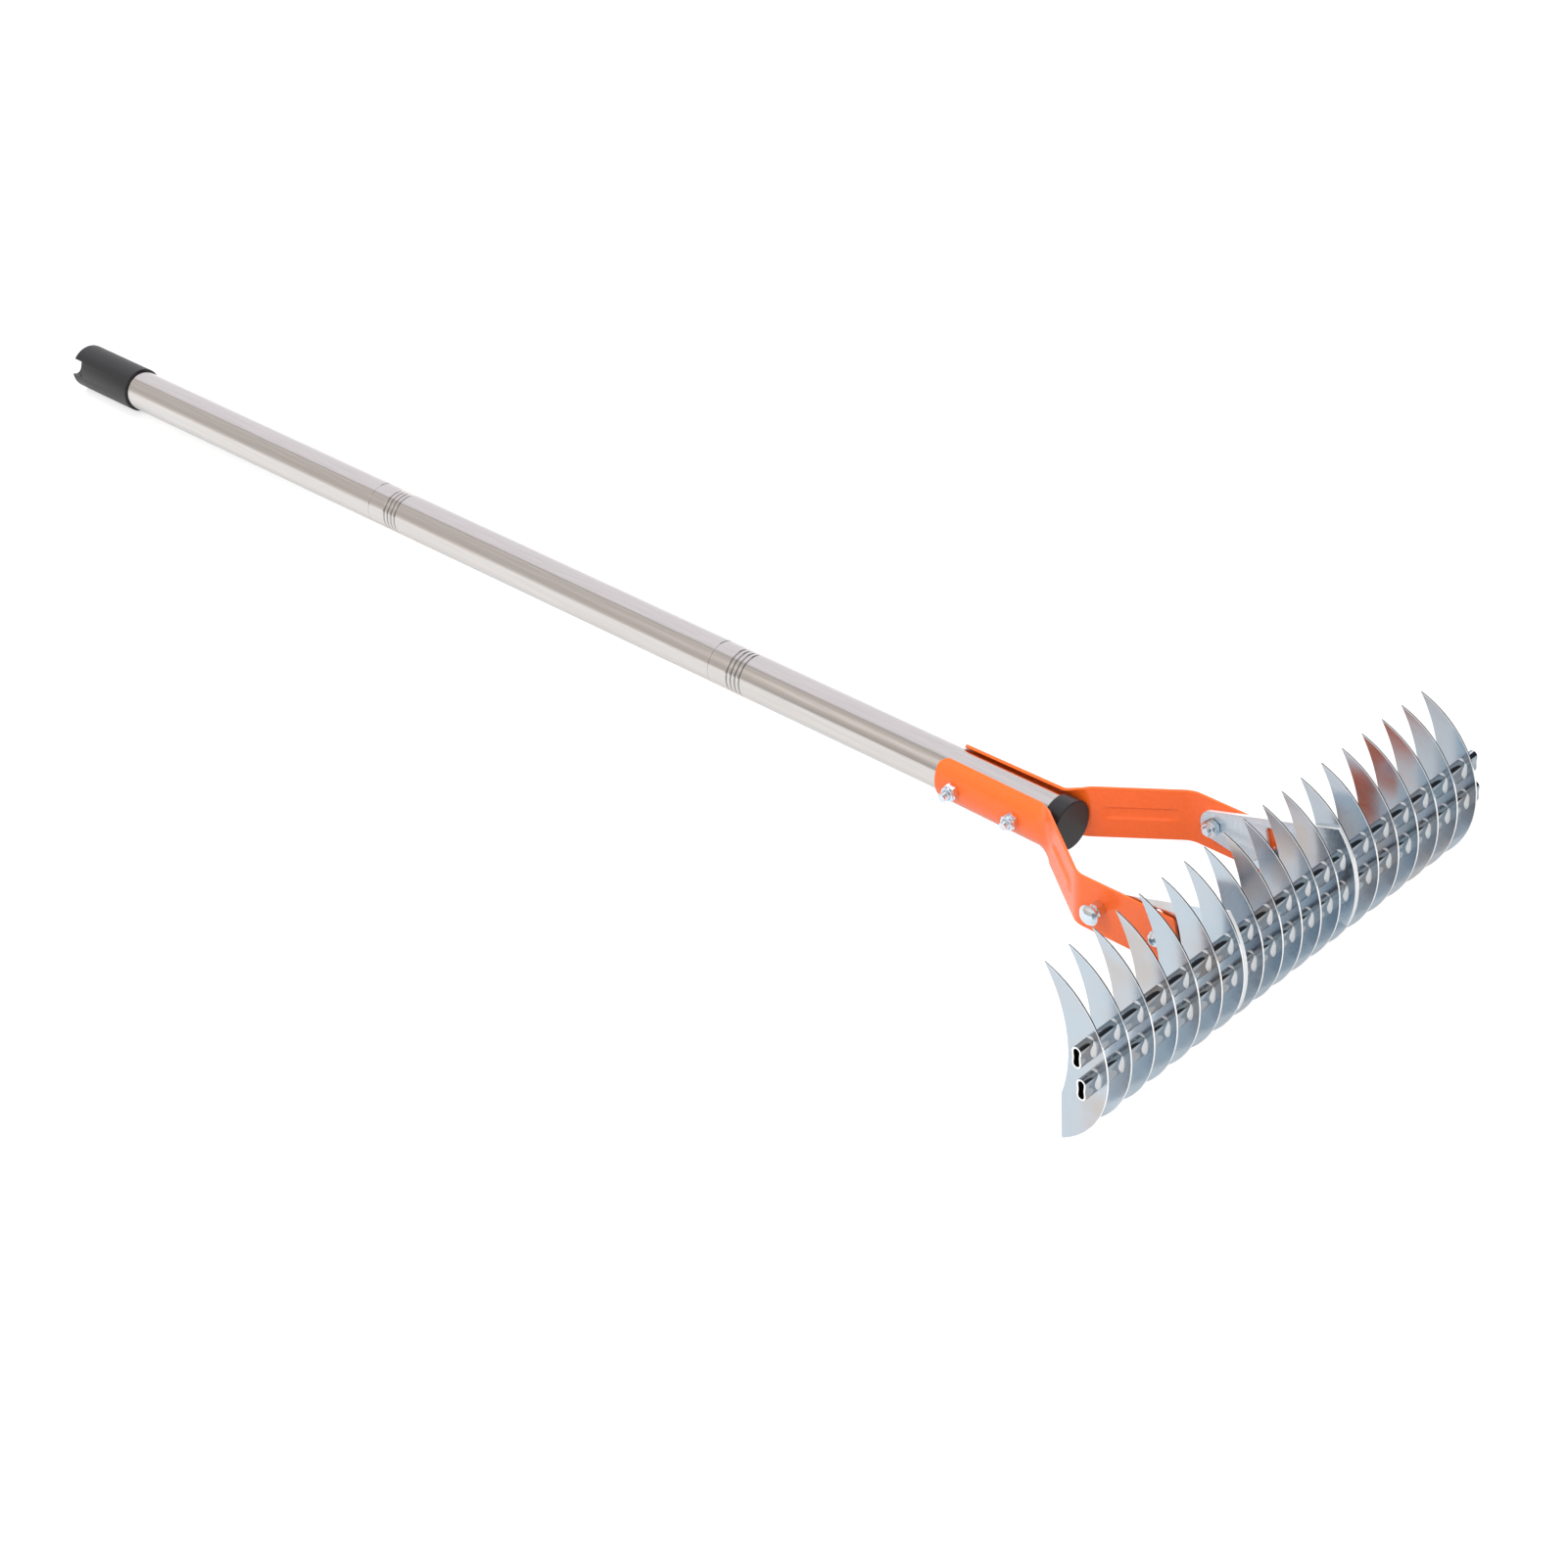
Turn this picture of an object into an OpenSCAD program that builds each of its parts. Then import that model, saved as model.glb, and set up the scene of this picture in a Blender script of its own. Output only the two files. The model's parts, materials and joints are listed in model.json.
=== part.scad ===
// Thatch rake: a row of crescent blades on two crossbars, tilting on a fork at the end of a
// three-section tube handle.
// The rake lies at rest on the ends of its blades and the end of its handle.
// X runs across the blades, Y along the handle to the blades, Z up from the ground.

/* [Handle] */
// Outer diameter of the handle tube
tube_d = 30; // [26:0.5:34]
// Wall of the handle tube
tube_wall = 1; // [0.8:0.1:1.6]
// Length of the section that holds the blades
lower_tube_len = 294; // [200:1:420]
// Length of the middle section
middle_tube_len = 345; // [200:1:420]
// Length of the section that is held by hand
upper_tube_len = 340; // [200:1:420]
// Bevel at the ends of each section, seen as a fine line at the seams
seam_bevel = 0.4; // [0.2:0.1:0.6]

/* [Handle joints] */
// Rolled rings that hold each joint plug
ring_count = 4; // [2:1:5]
// Distance between rolled rings
ring_pitch = 3.75; // [3:0.25:5]
// Distance from the seam to the first ring
ring_setback = 17; // [12:0.5:22]
// Width of a ring's groove
ring_w = 2.4; // [1.6:0.1:2.8]
// Depth of a ring's groove
ring_depth = 0.6; // [0.3:0.1:0.8]
// Length of the plug inside the tube
plug_len = 42; // [38:1:60]
// Diameter of the screwed spigot
spigot_d = 20; // [16:0.5:22]
// Length of the screwed spigot
spigot_len = 32; // [24:1:45]
// Length of the socket that takes the spigot
socket_len = 46; // [46:1:60]

/* [Top cap] */
// Wall of the cap's skirt
top_cap_wall = 1.7; // [1.2:0.1:2.5]
// Length of the skirt over the tube
top_cap_skirt = 50; // [30:0.5:80]
// Thickness of the cap's closed end
top_cap_end = 19; // [17:0.5:26]
// Radius of the closed end's rim
top_cap_round = 1.2; // [0.6:0.1:3]
// Width of the notch in the side of the closed end
notch_w = 12; // [9:0.5:16]
// Length of the notch along the handle
notch_len = 12.5; // [6:0.5:15]
// Distance from the middle of the cap to the notch's floor
notch_floor = 8.5; // [6:0.5:10]
// Radius in the corners of the notch's floor
notch_round = 4; // [1:0.25:4]
// Turn of the notch about the handle, in degrees
notch_turn = 20; // [0:1:90]

/* [Bottom cap] */
// Wall of the cap's skirt
bottom_cap_wall = 1.2; // [0.9:0.1:1.6]
// Length of the skirt over the tube
bottom_cap_skirt = 9.5; // [6:0.5:14]
// Thickness of the cap's end
bottom_cap_end = 2.5; // [1.5:0.25:5]
// Radius of the end's rim
bottom_cap_round = 0.8; // [0.4:0.1:0.9]

/* [Fork brackets] */
// Thickness of the bracket sheet
sheet_t = 2; // [1.5:0.1:3]
// Height of the bracket strip
strip_h = 36; // [30:1:44]
// Length of the cup along the tube
cup_len = 88.5; // [75:0.5:110]
// Distance from the handle's end to the bend of the cup
cup_setback = 7.5; // [6:0.5:12]
// How much larger the cup's curve is than the tube's radius
cup_ease = 3; // [1:0.25:4]
// Radius of the cup's rear corners
cup_corner_r = 8; // [3:0.5:10]
// Angle of the arm to the handle, in degrees
arm_angle = 35.5; // [34:0.5:42]
// Radius of the bend from the cup to the arm
cup_bend_r = 14; // [10:1:20]
// Radius of the bend from the arm to the plate
plate_bend_r = 16; // [10:1:20]
// Distance before the cup's bend where the curved cup starts to turn flat
flatten_lead = 9; // [4:0.5:11]
// Length over which the curved cup turns flat
flatten_len = 17; // [14:1:24]
// Width of the rib pressed along the arm
rib_w = 9; // [6:0.5:14]
// Height of the rib
rib_h = 1.4; // [0.5:0.1:2]
// Distance from the pivot to the end of the plate
plate_nose = 57; // [52:0.5:59]
// Radius of the plate's end corners
plate_corner_r = 3; // [1:0.5:6]
// Slant of the plate's end, forward over height
plate_slant_share = 0.15; // [0:0.01:0.3]

/* [Fasteners] */
// Diameter of all bolts
bolt_d = 6; // [5:0.5:6.5]
// Width across the flats of the nuts and hex heads
nut_flats = 10; // [9:0.5:11]
// Height of a nut's hexagon
nut_hex_h = 4.5; // [3.5:0.25:6]
// Height of the locking ring on a nut
nut_ring_h = 1.5; // [1:0.25:2.5]
// Height of a hex bolt head
hex_head_h = 4; // [3:0.25:5]
// Diameter of the round pivot bolt heads
dome_d = 13.5; // [11:0.5:16]
// Height of the round pivot bolt heads
dome_h = 3.8; // [2.5:0.1:5]
// Length of the square neck under a pivot bolt head
neck_len = 10.5; // [4:0.5:12]
// Diameter of the stop bolt heads
button_d = 10.5; // [9:0.5:13]
// Height of the stop bolt heads
button_h = 3.3; // [2.8:0.1:4]
// Width across the flats of the key socket in a stop bolt
key_flats = 4; // [3:0.5:5]
// Depth of the key socket
key_depth = 2; // [1:0.25:2.5]
// Distance that a stop bolt's head stands out from its plate
stop_head_gap = 4.5; // [0.5:0.5:6]
// Length of a stop bolt under its head
stop_bolt_len = 24; // [22:0.5:32]
// Length of pivot bolt that stands out of its nut
pivot_tail = 2; // [1:0.25:4]
// Length of clamp bolt that stands out of its nut
clamp_tail = 3.25; // [1:0.25:5]
// Distance from the cup's rear end to the rear clamp bolt
rear_clamp_edge = 15.5; // [12:0.5:22]
// Distance from the cup's bend to the front clamp bolt
front_clamp_edge = 24.5; // [12:0.5:30]

/* [Tilting head] */
// Distance from the handle's end to the pivot
pivot_reach = 67; // [62:0.5:76]
// Height of the pivot above the handle's middle line
pivot_rise = 2; // [0:0.1:4]
// Distance from the pivot to the stop bolt
stop_r = 43.5; // [38:0.5:46]
// Angle that the head tilts, in degrees
tilt_range = 18; // [8:1:20]
// Distance from the handle's end to the front of the blades
head_reach = 170; // [166:0.5:180]
// Thickness of a lug
lug_t = 2.5; // [2:0.1:3]
// Radius of a lug round its pivot
lug_round = 10; // [8:0.5:12]
// Half angle between a lug's edges, in degrees
lug_half_angle = 13.4; // [11:0.1:16]
// Angle of a lug's middle line above the handle, in degrees
lug_aim = 3.2; // [0:0.1:6]

/* [Blades] */
// Blades on each side of the middle one
side_blades = 9; // [5:1:11]
// Blades between the middle one and a lug, with that lug's own blade
lug_blade = 3; // [2:1:4]
// Distance between the blades inside the fork
inner_pitch = 18; // [16:0.5:20]
// Distance between the blades outside the fork
outer_pitch = 20; // [16:0.5:24]
// Thickness of a blade
blade_t = 1.2; // [1:0.1:3]
// Radius of a blade's front edge
front_r = 64.5; // [62:0.5:68]
// Drop of the front edge's centre below the handle's middle line
front_drop = 0.6; // [0:0.1:4]
// Width of a blade at its narrowest
neck_w = 28; // [26:0.5:30]
// Radius of the hollow back
hollow_r = 99; // [90:1:120]
// Height of the hollow's centre above the front edge's centre
hollow_rise = 7.4; // [4:0.2:10]
// Width of a blade at its lower end
heel_w = 33; // [31:0.5:35]
// Width of the ground edge at the lower end
grind_w = 5; // [2:0.5:8]
// Thickness that is left at the ground edge
grind_edge = 0.6; // [0.4:0.1:1]
// Angle below the middle line where the ground edge starts, in degrees
grind_start = 22; // [5:1:40]

/* [Crossbars] */
// Width of the flattened crossbar tube
bar_w = 6.6; // [5:0.1:8]
// Height of the flattened crossbar tube
bar_h = 14.6; // [12:0.1:16]
// Wall of the crossbar tube
bar_wall = 1.2; // [0.8:0.1:1.8]
// Distance from the front edge to the middle of a crossbar
bar_inset = 9.2; // [8:0.1:11]
// Angle of the upper crossbar above the blade's middle line, in degrees
upper_bar_angle = 19.4; // [17:0.1:24]
// Angle of the lower crossbar below the blade's middle line, in degrees
lower_bar_angle = 2.4; // [0:0.1:6]
// Length of a crossbar that stands out past the end blades
bar_stub = 11.4; // [6:0.1:20]
// Width of the bead rolled into a crossbar beside a blade
bead_w = 2.4; // [1.5:0.1:3.5]
// Height of the bead
bead_h = 1.2; // [0.6:0.1:1.8]

/* [Hidden] */
// Clearances: pushed-on caps and plugs, painted sheet on tube, bolts in holes, a bolt in its nut,
// the turning lug on its bolt, and the gaps beside a lug
push_gap = 0.05;
clamp_gap = 0.2;
hole_gap = 0.3;
thread_gap = 0.1;
turn_gap = 0.08;
side_gap = 0.3;
slot_gap = 0.2;
bar_gap = 0.1;
seat_gap = 0.05;
// Step where a straight or curved edge of a lug runs into a round, so that the two cross cleanly
edge_ease = 0.05;
// Overrun of every cut past the face it opens
over = 1;
// Sides of a round shape
$fn = 96;

tube_r = tube_d / 2;
bore_r = tube_r - tube_wall;
plug_r = bore_r - push_gap;
bolt_r = bolt_d / 2;

// Places along the handle, counted back from the face of the bottom cap
lower_tube_y = -bottom_cap_end;
lower_seam_y = lower_tube_y - lower_tube_len;
upper_seam_y = lower_seam_y - middle_tube_len;
upper_tube_y = upper_seam_y - upper_tube_len;
handle_end_y = upper_tube_y - top_cap_end;
top_cap_r = tube_r + push_gap + top_cap_wall;
bottom_cap_r = tube_r + push_gap + bottom_cap_wall;

// Round section of a rolled ring: a groove outside and a bead inside, one wall apart
ring_r = (ring_w * ring_w / 4 + ring_depth * ring_depth) / (2 * ring_depth);
ring_centre_r = tube_r - ring_depth + ring_r;

// Places of the blades
front_y = head_reach - front_r;
front_z = -front_drop;
hollow_y = front_r - neck_w - hollow_r;
heel_y = front_r - heel_w;
heel_z = -sqrt(front_r * front_r - heel_y * heel_y);
bar_r = front_r - bar_inset;
lug_blade_x = lug_blade * inner_pitch;
end_blade_x = lug_blade_x + (side_blades - lug_blade) * outer_pitch;
bar_len = 2 * end_blade_x + blade_t + 2 * bar_stub;

// Faces of the right lug and bracket, from the middle out
lug_x = lug_blade_x - blade_t / 2 - seat_gap - lug_t;
plate_x = lug_x + lug_t + side_gap;
plate_out_x = plate_x + sheet_t;
nut_x = lug_x - side_gap;
nut_h = nut_hex_h + nut_ring_h;
neck_flats = bolt_d;

// Bracket path at the middle of the sheet: the cup lies on the tube at its rear end and on the
// rim of the bottom cap at its front
cup_r = tube_r + cup_ease + sheet_t / 2;
cup_front_y = -cup_setback;
cup_rear_y = cup_front_y - cup_len;
cup_splay = atan2(bottom_cap_r - tube_r, lower_tube_y - bottom_cap_skirt - cup_rear_y);
function cup_x(y) = tube_r + clamp_gap + sheet_t / 2 + (y - cup_rear_y) * tan(cup_splay);
arm_x = cup_x(cup_front_y) + cup_bend_r * (cos(cup_splay) - cos(arm_angle));
arm_y = cup_front_y + cup_bend_r * (sin(arm_angle) - sin(cup_splay));
plate_mid_x = plate_x + sheet_t / 2;
arm_len = (plate_mid_x - arm_x - plate_bend_r * (1 - cos(arm_angle))) / sin(arm_angle);
plate_y = arm_y + arm_len * cos(arm_angle) + plate_bend_r * sin(arm_angle);
cup_bend_len = cup_bend_r * (arm_angle - cup_splay) * PI / 180;
plate_end_y = pivot_reach + plate_nose;

// Clamp bolts, and where their heads and nuts sit on the cups
clamp_ys = [cup_rear_y + rear_clamp_edge, cup_front_y - front_clamp_edge];
function clamp_x(y) = cup_x(y + nut_flats / 2 / cos(30)) + sheet_t / 2;

// The rake rests on the rim of the top cap and on the lower ends of the blades
rest_run = front_y + heel_y - handle_end_y - top_cap_round;
rest_drop = top_cap_r - top_cap_round + front_z + heel_z;
rest_span = sqrt(rest_run * rest_run + rest_drop * rest_drop);
rest_tilt = -asin(top_cap_round / rest_span) - atan2(rest_drop, rest_run);
rest_z = -(front_y + heel_y) * sin(rest_tilt) - (front_z + heel_z) * cos(rest_tilt);
rest_front_y = front_y * cos(rest_tilt) - front_z * sin(rest_tilt) + front_r;
rest_back_y = (handle_end_y + top_cap_round) * cos(rest_tilt)
    - (top_cap_r - top_cap_round) * sin(rest_tilt) - top_cap_round;
rest_mid_y = (rest_front_y + rest_back_y) / 2;

blade_ids = [for (i = [1 : 2 * side_blades + 1]) i];
function blade_name(i) = str("blade_", i < 10 ? "0" : "", i);
function blade_place(i) = side_blades + 1 - i;
function blade_x(i) = let (place = abs(blade_place(i)), inner = min(place, lug_blade))
    sign(blade_place(i)) * (inner * inner_pitch + (place - inner) * outer_pitch);

steel = [0.78, 0.78, 0.76];
zinc = [0.72, 0.75, 0.80];
orange = [0.95, 0.43, 0.17];
charcoal = [0.27, 0.26, 0.28];
nylon = [0.15, 0.15, 0.16];

// Placing

// Lays the rake down on the ground, with its middle over the origin
module lie() translate([0, -rest_mid_y, rest_z]) rotate([rest_tilt, 0, 0]) children();

// Turns a shape drawn upright so that it points along the handle, to the blades
module along_handle(y) translate([0, y, 0]) rotate([-90, 0, 0]) children();

// Stands a plate drawn flat across the rake: drawn x runs along the handle, drawn y runs up
module across(x, t) translate([x, 0, 0]) rotate([90, 0, 90]) linear_extrude(t) children();

// Turns a shape drawn upright so that it points to the right, at a place along the handle
module to_right(x, y, z) translate([x, y, z]) rotate([0, 90, 0]) children();

module on_side(side) mirror([side < 0 ? 1 : 0, 0, 0]) children();

// Handle

// Half section of a tube from 0 to its length, bevelled at both ends
module tube_section(len) {
    polygon([[bore_r, 0], [tube_r - seam_bevel, 0], [tube_r, seam_bevel],
        [tube_r, len - seam_bevel], [tube_r - seam_bevel, len], [bore_r, len]]);
}

module ring_circles(r, seam)
    for (i = [0 : ring_count - 1])
        translate([ring_centre_r, seam + ring_setback + i * ring_pitch]) circle(r);

// Half section of a tube whose far end, at 0, has rolled rings
module ringed_section(len) {
    difference() {
        union() {
            tube_section(len);
            intersection() {
                ring_circles(ring_r + tube_wall, 0);
                square([tube_r - seam_bevel, len]);
            }
        }
        ring_circles(ring_r, 0);
    }
}

module upper_tube() color(steel) lie()
    along_handle(upper_tube_y) rotate_extrude() tube_section(upper_tube_len);

module middle_tube() color(steel) lie()
    along_handle(upper_seam_y) rotate_extrude() ringed_section(middle_tube_len);

module lower_tube() color(steel) lie() difference() {
    along_handle(lower_seam_y) rotate_extrude() ringed_section(lower_tube_len);
    clamp_holes();
}

module clamp_holes()
    for (y = clamp_ys)
        to_right(-plate_x, y, 0) cylinder(r = bolt_r + hole_gap, h = 2 * plate_x);

// Plug held by the rolled rings, with a spigot that screws into the section above
module joint_stud(seam) color(nylon) lie() along_handle(seam) {
    rotate_extrude() difference() {
        square([plug_r, plug_len]);
        ring_circles(ring_r + tube_wall + push_gap, 0);
    }
    translate([0, 0, -spigot_len]) cylinder(d = spigot_d, h = spigot_len);
}

// Sleeve pressed into the foot of the section above
module joint_socket(seam) color(nylon) lie() along_handle(seam - socket_len) difference() {
    cylinder(r = plug_r, h = socket_len);
    translate([0, 0, -over]) cylinder(r = spigot_d / 2 + thread_gap, h = socket_len + 2 * over);
}

// Half section of a cap from its rim at 0 to its closed end, with a round edge
module cap_section(r, len, round_r) {
    square([r, len - round_r]);
    square([r - round_r, len]);
    translate([r - round_r, len - round_r]) circle(round_r);
}

module top_cap() color(charcoal) lie()
    translate([0, upper_tube_y + top_cap_skirt, 0]) rotate([90, 0, 0]) difference() {
        rotate_extrude() cap_section(top_cap_r, top_cap_skirt + top_cap_end, top_cap_round);
        translate([0, 0, -over]) cylinder(r = tube_r + push_gap, h = top_cap_skirt + over);
        translate([0, 0, top_cap_skirt + top_cap_end]) rotate([0, 0, notch_turn]) notch();
    }

// Notch in the side of the cap's end, with round corners along its floor
module notch() translate([0, 0, -notch_len]) linear_extrude(notch_len + over) {
    translate([notch_floor + notch_round, -notch_w / 2]) square([tube_d, notch_w]);
    translate([notch_floor, notch_round - notch_w / 2]) square([tube_d, notch_w - 2 * notch_round]);
    for (s = [-1, 1])
        translate([notch_floor + notch_round, s * (notch_w / 2 - notch_round)]) circle(notch_round);
}

module bottom_cap() color(charcoal) lie() along_handle(lower_tube_y - bottom_cap_skirt) difference() {
    rotate_extrude()
        cap_section(bottom_cap_r, bottom_cap_skirt + bottom_cap_end, bottom_cap_round);
    translate([0, 0, -over]) cylinder(r = tube_r + push_gap, h = bottom_cap_skirt + over);
}

// Brackets

corner_steps = 4;
lead_steps = 3;
bend_steps = 6;
// Places across the strip, and where the rib stands there
strip_shares = [-1, -0.75, -0.5, -rib_w / strip_h, -0.5 * rib_w / strip_h,
    0.5 * rib_w / strip_h, rib_w / strip_h, 0.5, 0.75, 1];
rib_across_shares = [0, 0, 0, 0, 1, 1, 0, 0, 0, 0];
// Places along the arm, and where the rib stands there
arm_shares = [0.08, 0.2, 0.32, 0.6, 0.86, 0.96];
rib_along_shares = [0, 1, 1, 1, 1, 0];

function ease(share) = let (s = min(1, share)) s * s * (3 - 2 * s);
function mix(a, b, share) = a + (b - a) * share;

// A station of the strip: its place, heading, flatness, corner inset, rib and end slant
function cup_stations() = [for (i = [0 : corner_steps])
    let (a = 90 * i / corner_steps, y = cup_rear_y + cup_corner_r * (1 - cos(a)))
    [cup_x(y), y, cup_splay, 0, cup_corner_r * (1 - sin(a)), 0, 0]];
function lead_stations() = [for (i = [0 : lead_steps - 1])
    let (lead = flatten_lead * i / lead_steps, y = cup_front_y - flatten_lead + lead)
    [cup_x(y), y, cup_splay, ease(lead / flatten_len), 0, 0, 0]];
function cup_bend_stations() = [for (i = [0 : bend_steps])
    let (share = i / bend_steps, a = mix(cup_splay, arm_angle, share))
    [arm_x - cup_bend_r * (cos(a) - cos(arm_angle)), arm_y - cup_bend_r * (sin(arm_angle) - sin(a)), a,
        ease((flatten_lead + cup_bend_len * share) / flatten_len), 0, 0, 0]];
function arm_stations() = [for (i = [0 : len(arm_shares) - 1]) let (s = arm_len * arm_shares[i])
    [arm_x + s * sin(arm_angle), arm_y + s * cos(arm_angle), arm_angle,
        ease((flatten_lead + cup_bend_len + s) / flatten_len), 0, rib_along_shares[i], 0]];
function plate_bend_stations() = [for (i = [0 : bend_steps]) let (a = arm_angle * (1 - i / bend_steps))
    [plate_mid_x - plate_bend_r * (1 - cos(a)), plate_y - plate_bend_r * sin(a), a, 1, 0, 0, 0]];
function nose_stations() = [for (i = [0 : corner_steps]) let (a = 90 * i / corner_steps)
    [plate_mid_x, plate_end_y - plate_corner_r * (1 - sin(a)), 0, 1,
        plate_corner_r * (1 - cos(a)), 0, 1]];

// A point of the strip at a station, a place across it, and one of its two faces
function strip_point(st, j, face) = let (
        flat_up = strip_shares[j] * (strip_h / 2 - st[4]),
        turn = flat_up / cup_r * 180 / PI,
        out = mix(cup_r * (cos(turn) - 1), rib_h * rib_across_shares[j] * st[5], st[3]),
        up = mix(cup_r * sin(turn), flat_up, st[3]),
        lean = turn * (1 - st[3]),
        n = out + face * sheet_t / 2 * cos(lean),
        z = up + face * sheet_t / 2 * sin(lean))
    [st[0] + n * cos(st[2]), st[1] - n * sin(st[2]) - plate_slant_share * z * st[6], z];

module strip(stations) {
    n = len(strip_shares);
    last = len(stations) - 1;
    points = [for (st = stations) for (j = [0 : n - 1]) for (face = [1, -1]) strip_point(st, j, face)];
    function at(i, j, face) = (i * n + j) * 2 + face;
    function patch(a, b, c, d) = [[a, b, c], [a, c, d]];
    sides = [for (i = [0 : last - 1]) for (j = [0 : n - 2]) for (t = concat(
        patch(at(i, j, 0), at(i, j + 1, 0), at(i + 1, j + 1, 0), at(i + 1, j, 0)),
        patch(at(i, j, 1), at(i + 1, j, 1), at(i + 1, j + 1, 1), at(i, j + 1, 1)))) t];
    edges = [for (i = [0 : last - 1]) for (t = concat(
        patch(at(i, 0, 0), at(i + 1, 0, 0), at(i + 1, 0, 1), at(i, 0, 1)),
        patch(at(i + 1, n - 1, 0), at(i, n - 1, 0), at(i, n - 1, 1), at(i + 1, n - 1, 1)))) t];
    ends = [for (j = [0 : n - 2]) for (t = concat(
        patch(at(0, j + 1, 0), at(0, j, 0), at(0, j, 1), at(0, j + 1, 1)),
        patch(at(last, j, 0), at(last, j + 1, 0), at(last, j + 1, 1), at(last, j, 1)))) t];
    polyhedron(points, concat(sides, edges, ends));
}

module bracket(side) color(orange) lie() on_side(side) difference() {
    strip(concat(cup_stations(), lead_stations(), cup_bend_stations(), arm_stations(),
        plate_bend_stations(), nose_stations()));
    clamp_holes();
    for (y = [pivot_reach, pivot_reach + stop_r])
        to_right(lug_x, y, pivot_rise) cylinder(r = bolt_r + hole_gap, h = plate_out_x);
}

// Fasteners, each drawn upright with its seat at 0

module nut() difference() {
    union() {
        cylinder(d = nut_flats / cos(30), h = nut_hex_h, $fn = 6);
        cylinder(d = nut_flats - thread_gap, h = nut_h);
    }
    translate([0, 0, -over]) cylinder(r = bolt_r + thread_gap, h = nut_h + 2 * over);
}

module shank(len) translate([0, 0, -len]) cylinder(r = bolt_r, h = len);

module hex_bolt(len) {
    cylinder(d = nut_flats / cos(30), h = hex_head_h, $fn = 6);
    shank(len);
}

// Round head on a square neck
module dome_bolt(len) {
    dome_r = (dome_d * dome_d / 4 + dome_h * dome_h) / (2 * dome_h);
    translate([0, 0, neck_len]) intersection() {
        translate([0, 0, dome_h - dome_r]) sphere(dome_r);
        cylinder(d = dome_d + over, h = dome_h + over);
    }
    translate([-neck_flats / 2, -neck_flats / 2, 0]) cube([neck_flats, neck_flats, neck_len]);
    shank(len);
}

// Low round head with a key socket
module button_bolt(len) {
    button_r = (button_d * button_d / 4 + button_h * button_h) / (2 * button_h);
    difference() {
        intersection() {
            translate([0, 0, button_h - button_r]) sphere(button_r);
            cylinder(d = button_d + over, h = button_h + over);
        }
        translate([0, 0, button_h - key_depth])
            cylinder(d = key_flats / cos(30), h = key_depth + over, $fn = 6);
    }
    shank(len);
}

module clamp_bolt(y) color(zinc) lie()
    to_right(-clamp_x(y), y, 0) mirror([0, 0, 1]) hex_bolt(2 * clamp_x(y) + nut_h + clamp_tail);

module clamp_nut(y) color(zinc) lie() to_right(clamp_x(y), y, 0) nut();

module pivot_bolt(side) color(zinc) lie() on_side(side)
    to_right(plate_out_x, pivot_reach, pivot_rise) dome_bolt(plate_out_x - nut_x + nut_h + pivot_tail);

module stop_bolt(side) color(zinc) lie() on_side(side)
    to_right(plate_out_x + stop_head_gap, pivot_reach + stop_r, pivot_rise) button_bolt(stop_bolt_len);

module inner_nut(side, y) color(zinc) lie() on_side(side)
    to_right(nut_x, y, pivot_rise) mirror([0, 0, 1]) nut();

// Head, drawn flat with x along the handle and y up

module at_front() translate([front_y, front_z]) children();

module oval(w, h) {
    square([w, h - w], center = true);
    for (s = [-1, 1]) translate([0, s * (h - w) / 2]) circle(d = w);
}

module at_bar(angle) at_front() translate([bar_r * cos(angle), bar_r * sin(angle)]) children();

module bar_holes()
    for (angle = [upper_bar_angle, -lower_bar_angle])
        at_bar(angle) oval(bar_w + 2 * bar_gap, bar_h + 2 * bar_gap);

// Curved slot round the pivot that lets the stop bolt travel
module stop_slot() {
    slot_w = bolt_d + 2 * slot_gap;
    reach = stop_r + slot_w;
    intersection() {
        difference() {
            circle(stop_r + slot_w / 2);
            circle(stop_r - slot_w / 2);
        }
        polygon([[0, 0], [reach, 0], [reach * cos(tilt_range), reach * sin(tilt_range)]]);
    }
    for (a = [0, tilt_range])
        translate([stop_r * cos(a), stop_r * sin(a)]) circle(slot_w / 2 - edge_ease);
}

module lug(side) color(zinc) lie() on_side(side) across(lug_x, lug_t) difference() {
    intersection() {
        at_front() {
            circle(front_r);
            translate([-2 * front_r, -front_r]) square([2 * front_r, 2 * front_r]);
        }
        translate([pivot_reach, pivot_rise]) rotate(lug_aim) lug_wedge();
    }
    translate([pivot_reach, pivot_rise]) {
        circle(bolt_r + turn_gap);
        stop_slot();
    }
    bar_holes();
}

// Round end at the pivot, with two edges that spread from it
module lug_wedge() {
    back = (lug_round - edge_ease) * sin(lug_half_angle);
    half = (lug_round - edge_ease) * cos(lug_half_angle);
    spread = half + (front_r + back) * 2 * tan(lug_half_angle);
    circle(lug_round);
    polygon([[-back, half], [2 * front_r + back, spread], [2 * front_r + back, -spread], [-back, -half]]);
}

module blade_outline() at_front() difference() {
    circle(front_r);
    translate([hollow_y, hollow_rise]) circle(hollow_r);
    translate([-2 * front_r, -2 * front_r]) square([2 * front_r + heel_y, 2 * front_r + hollow_rise]);
}

// What is ground off one face along the lower front edge, drawn round the front edge's centre
module grind() {
    depth = (blade_t - grind_edge) / 2;
    steep = depth / grind_w;
    intersection() {
        rotate_extrude() polygon([[front_r - grind_w, 0], [front_r + over, -depth - over * steep],
            [front_r + over, 0]]);
        translate([0, 0, -blade_t]) linear_extrude(blade_t) polygon([[0, 0],
            [2 * front_r * cos(grind_start), -2 * front_r * sin(grind_start)], [0, -2 * front_r]]);
    }
}

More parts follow.
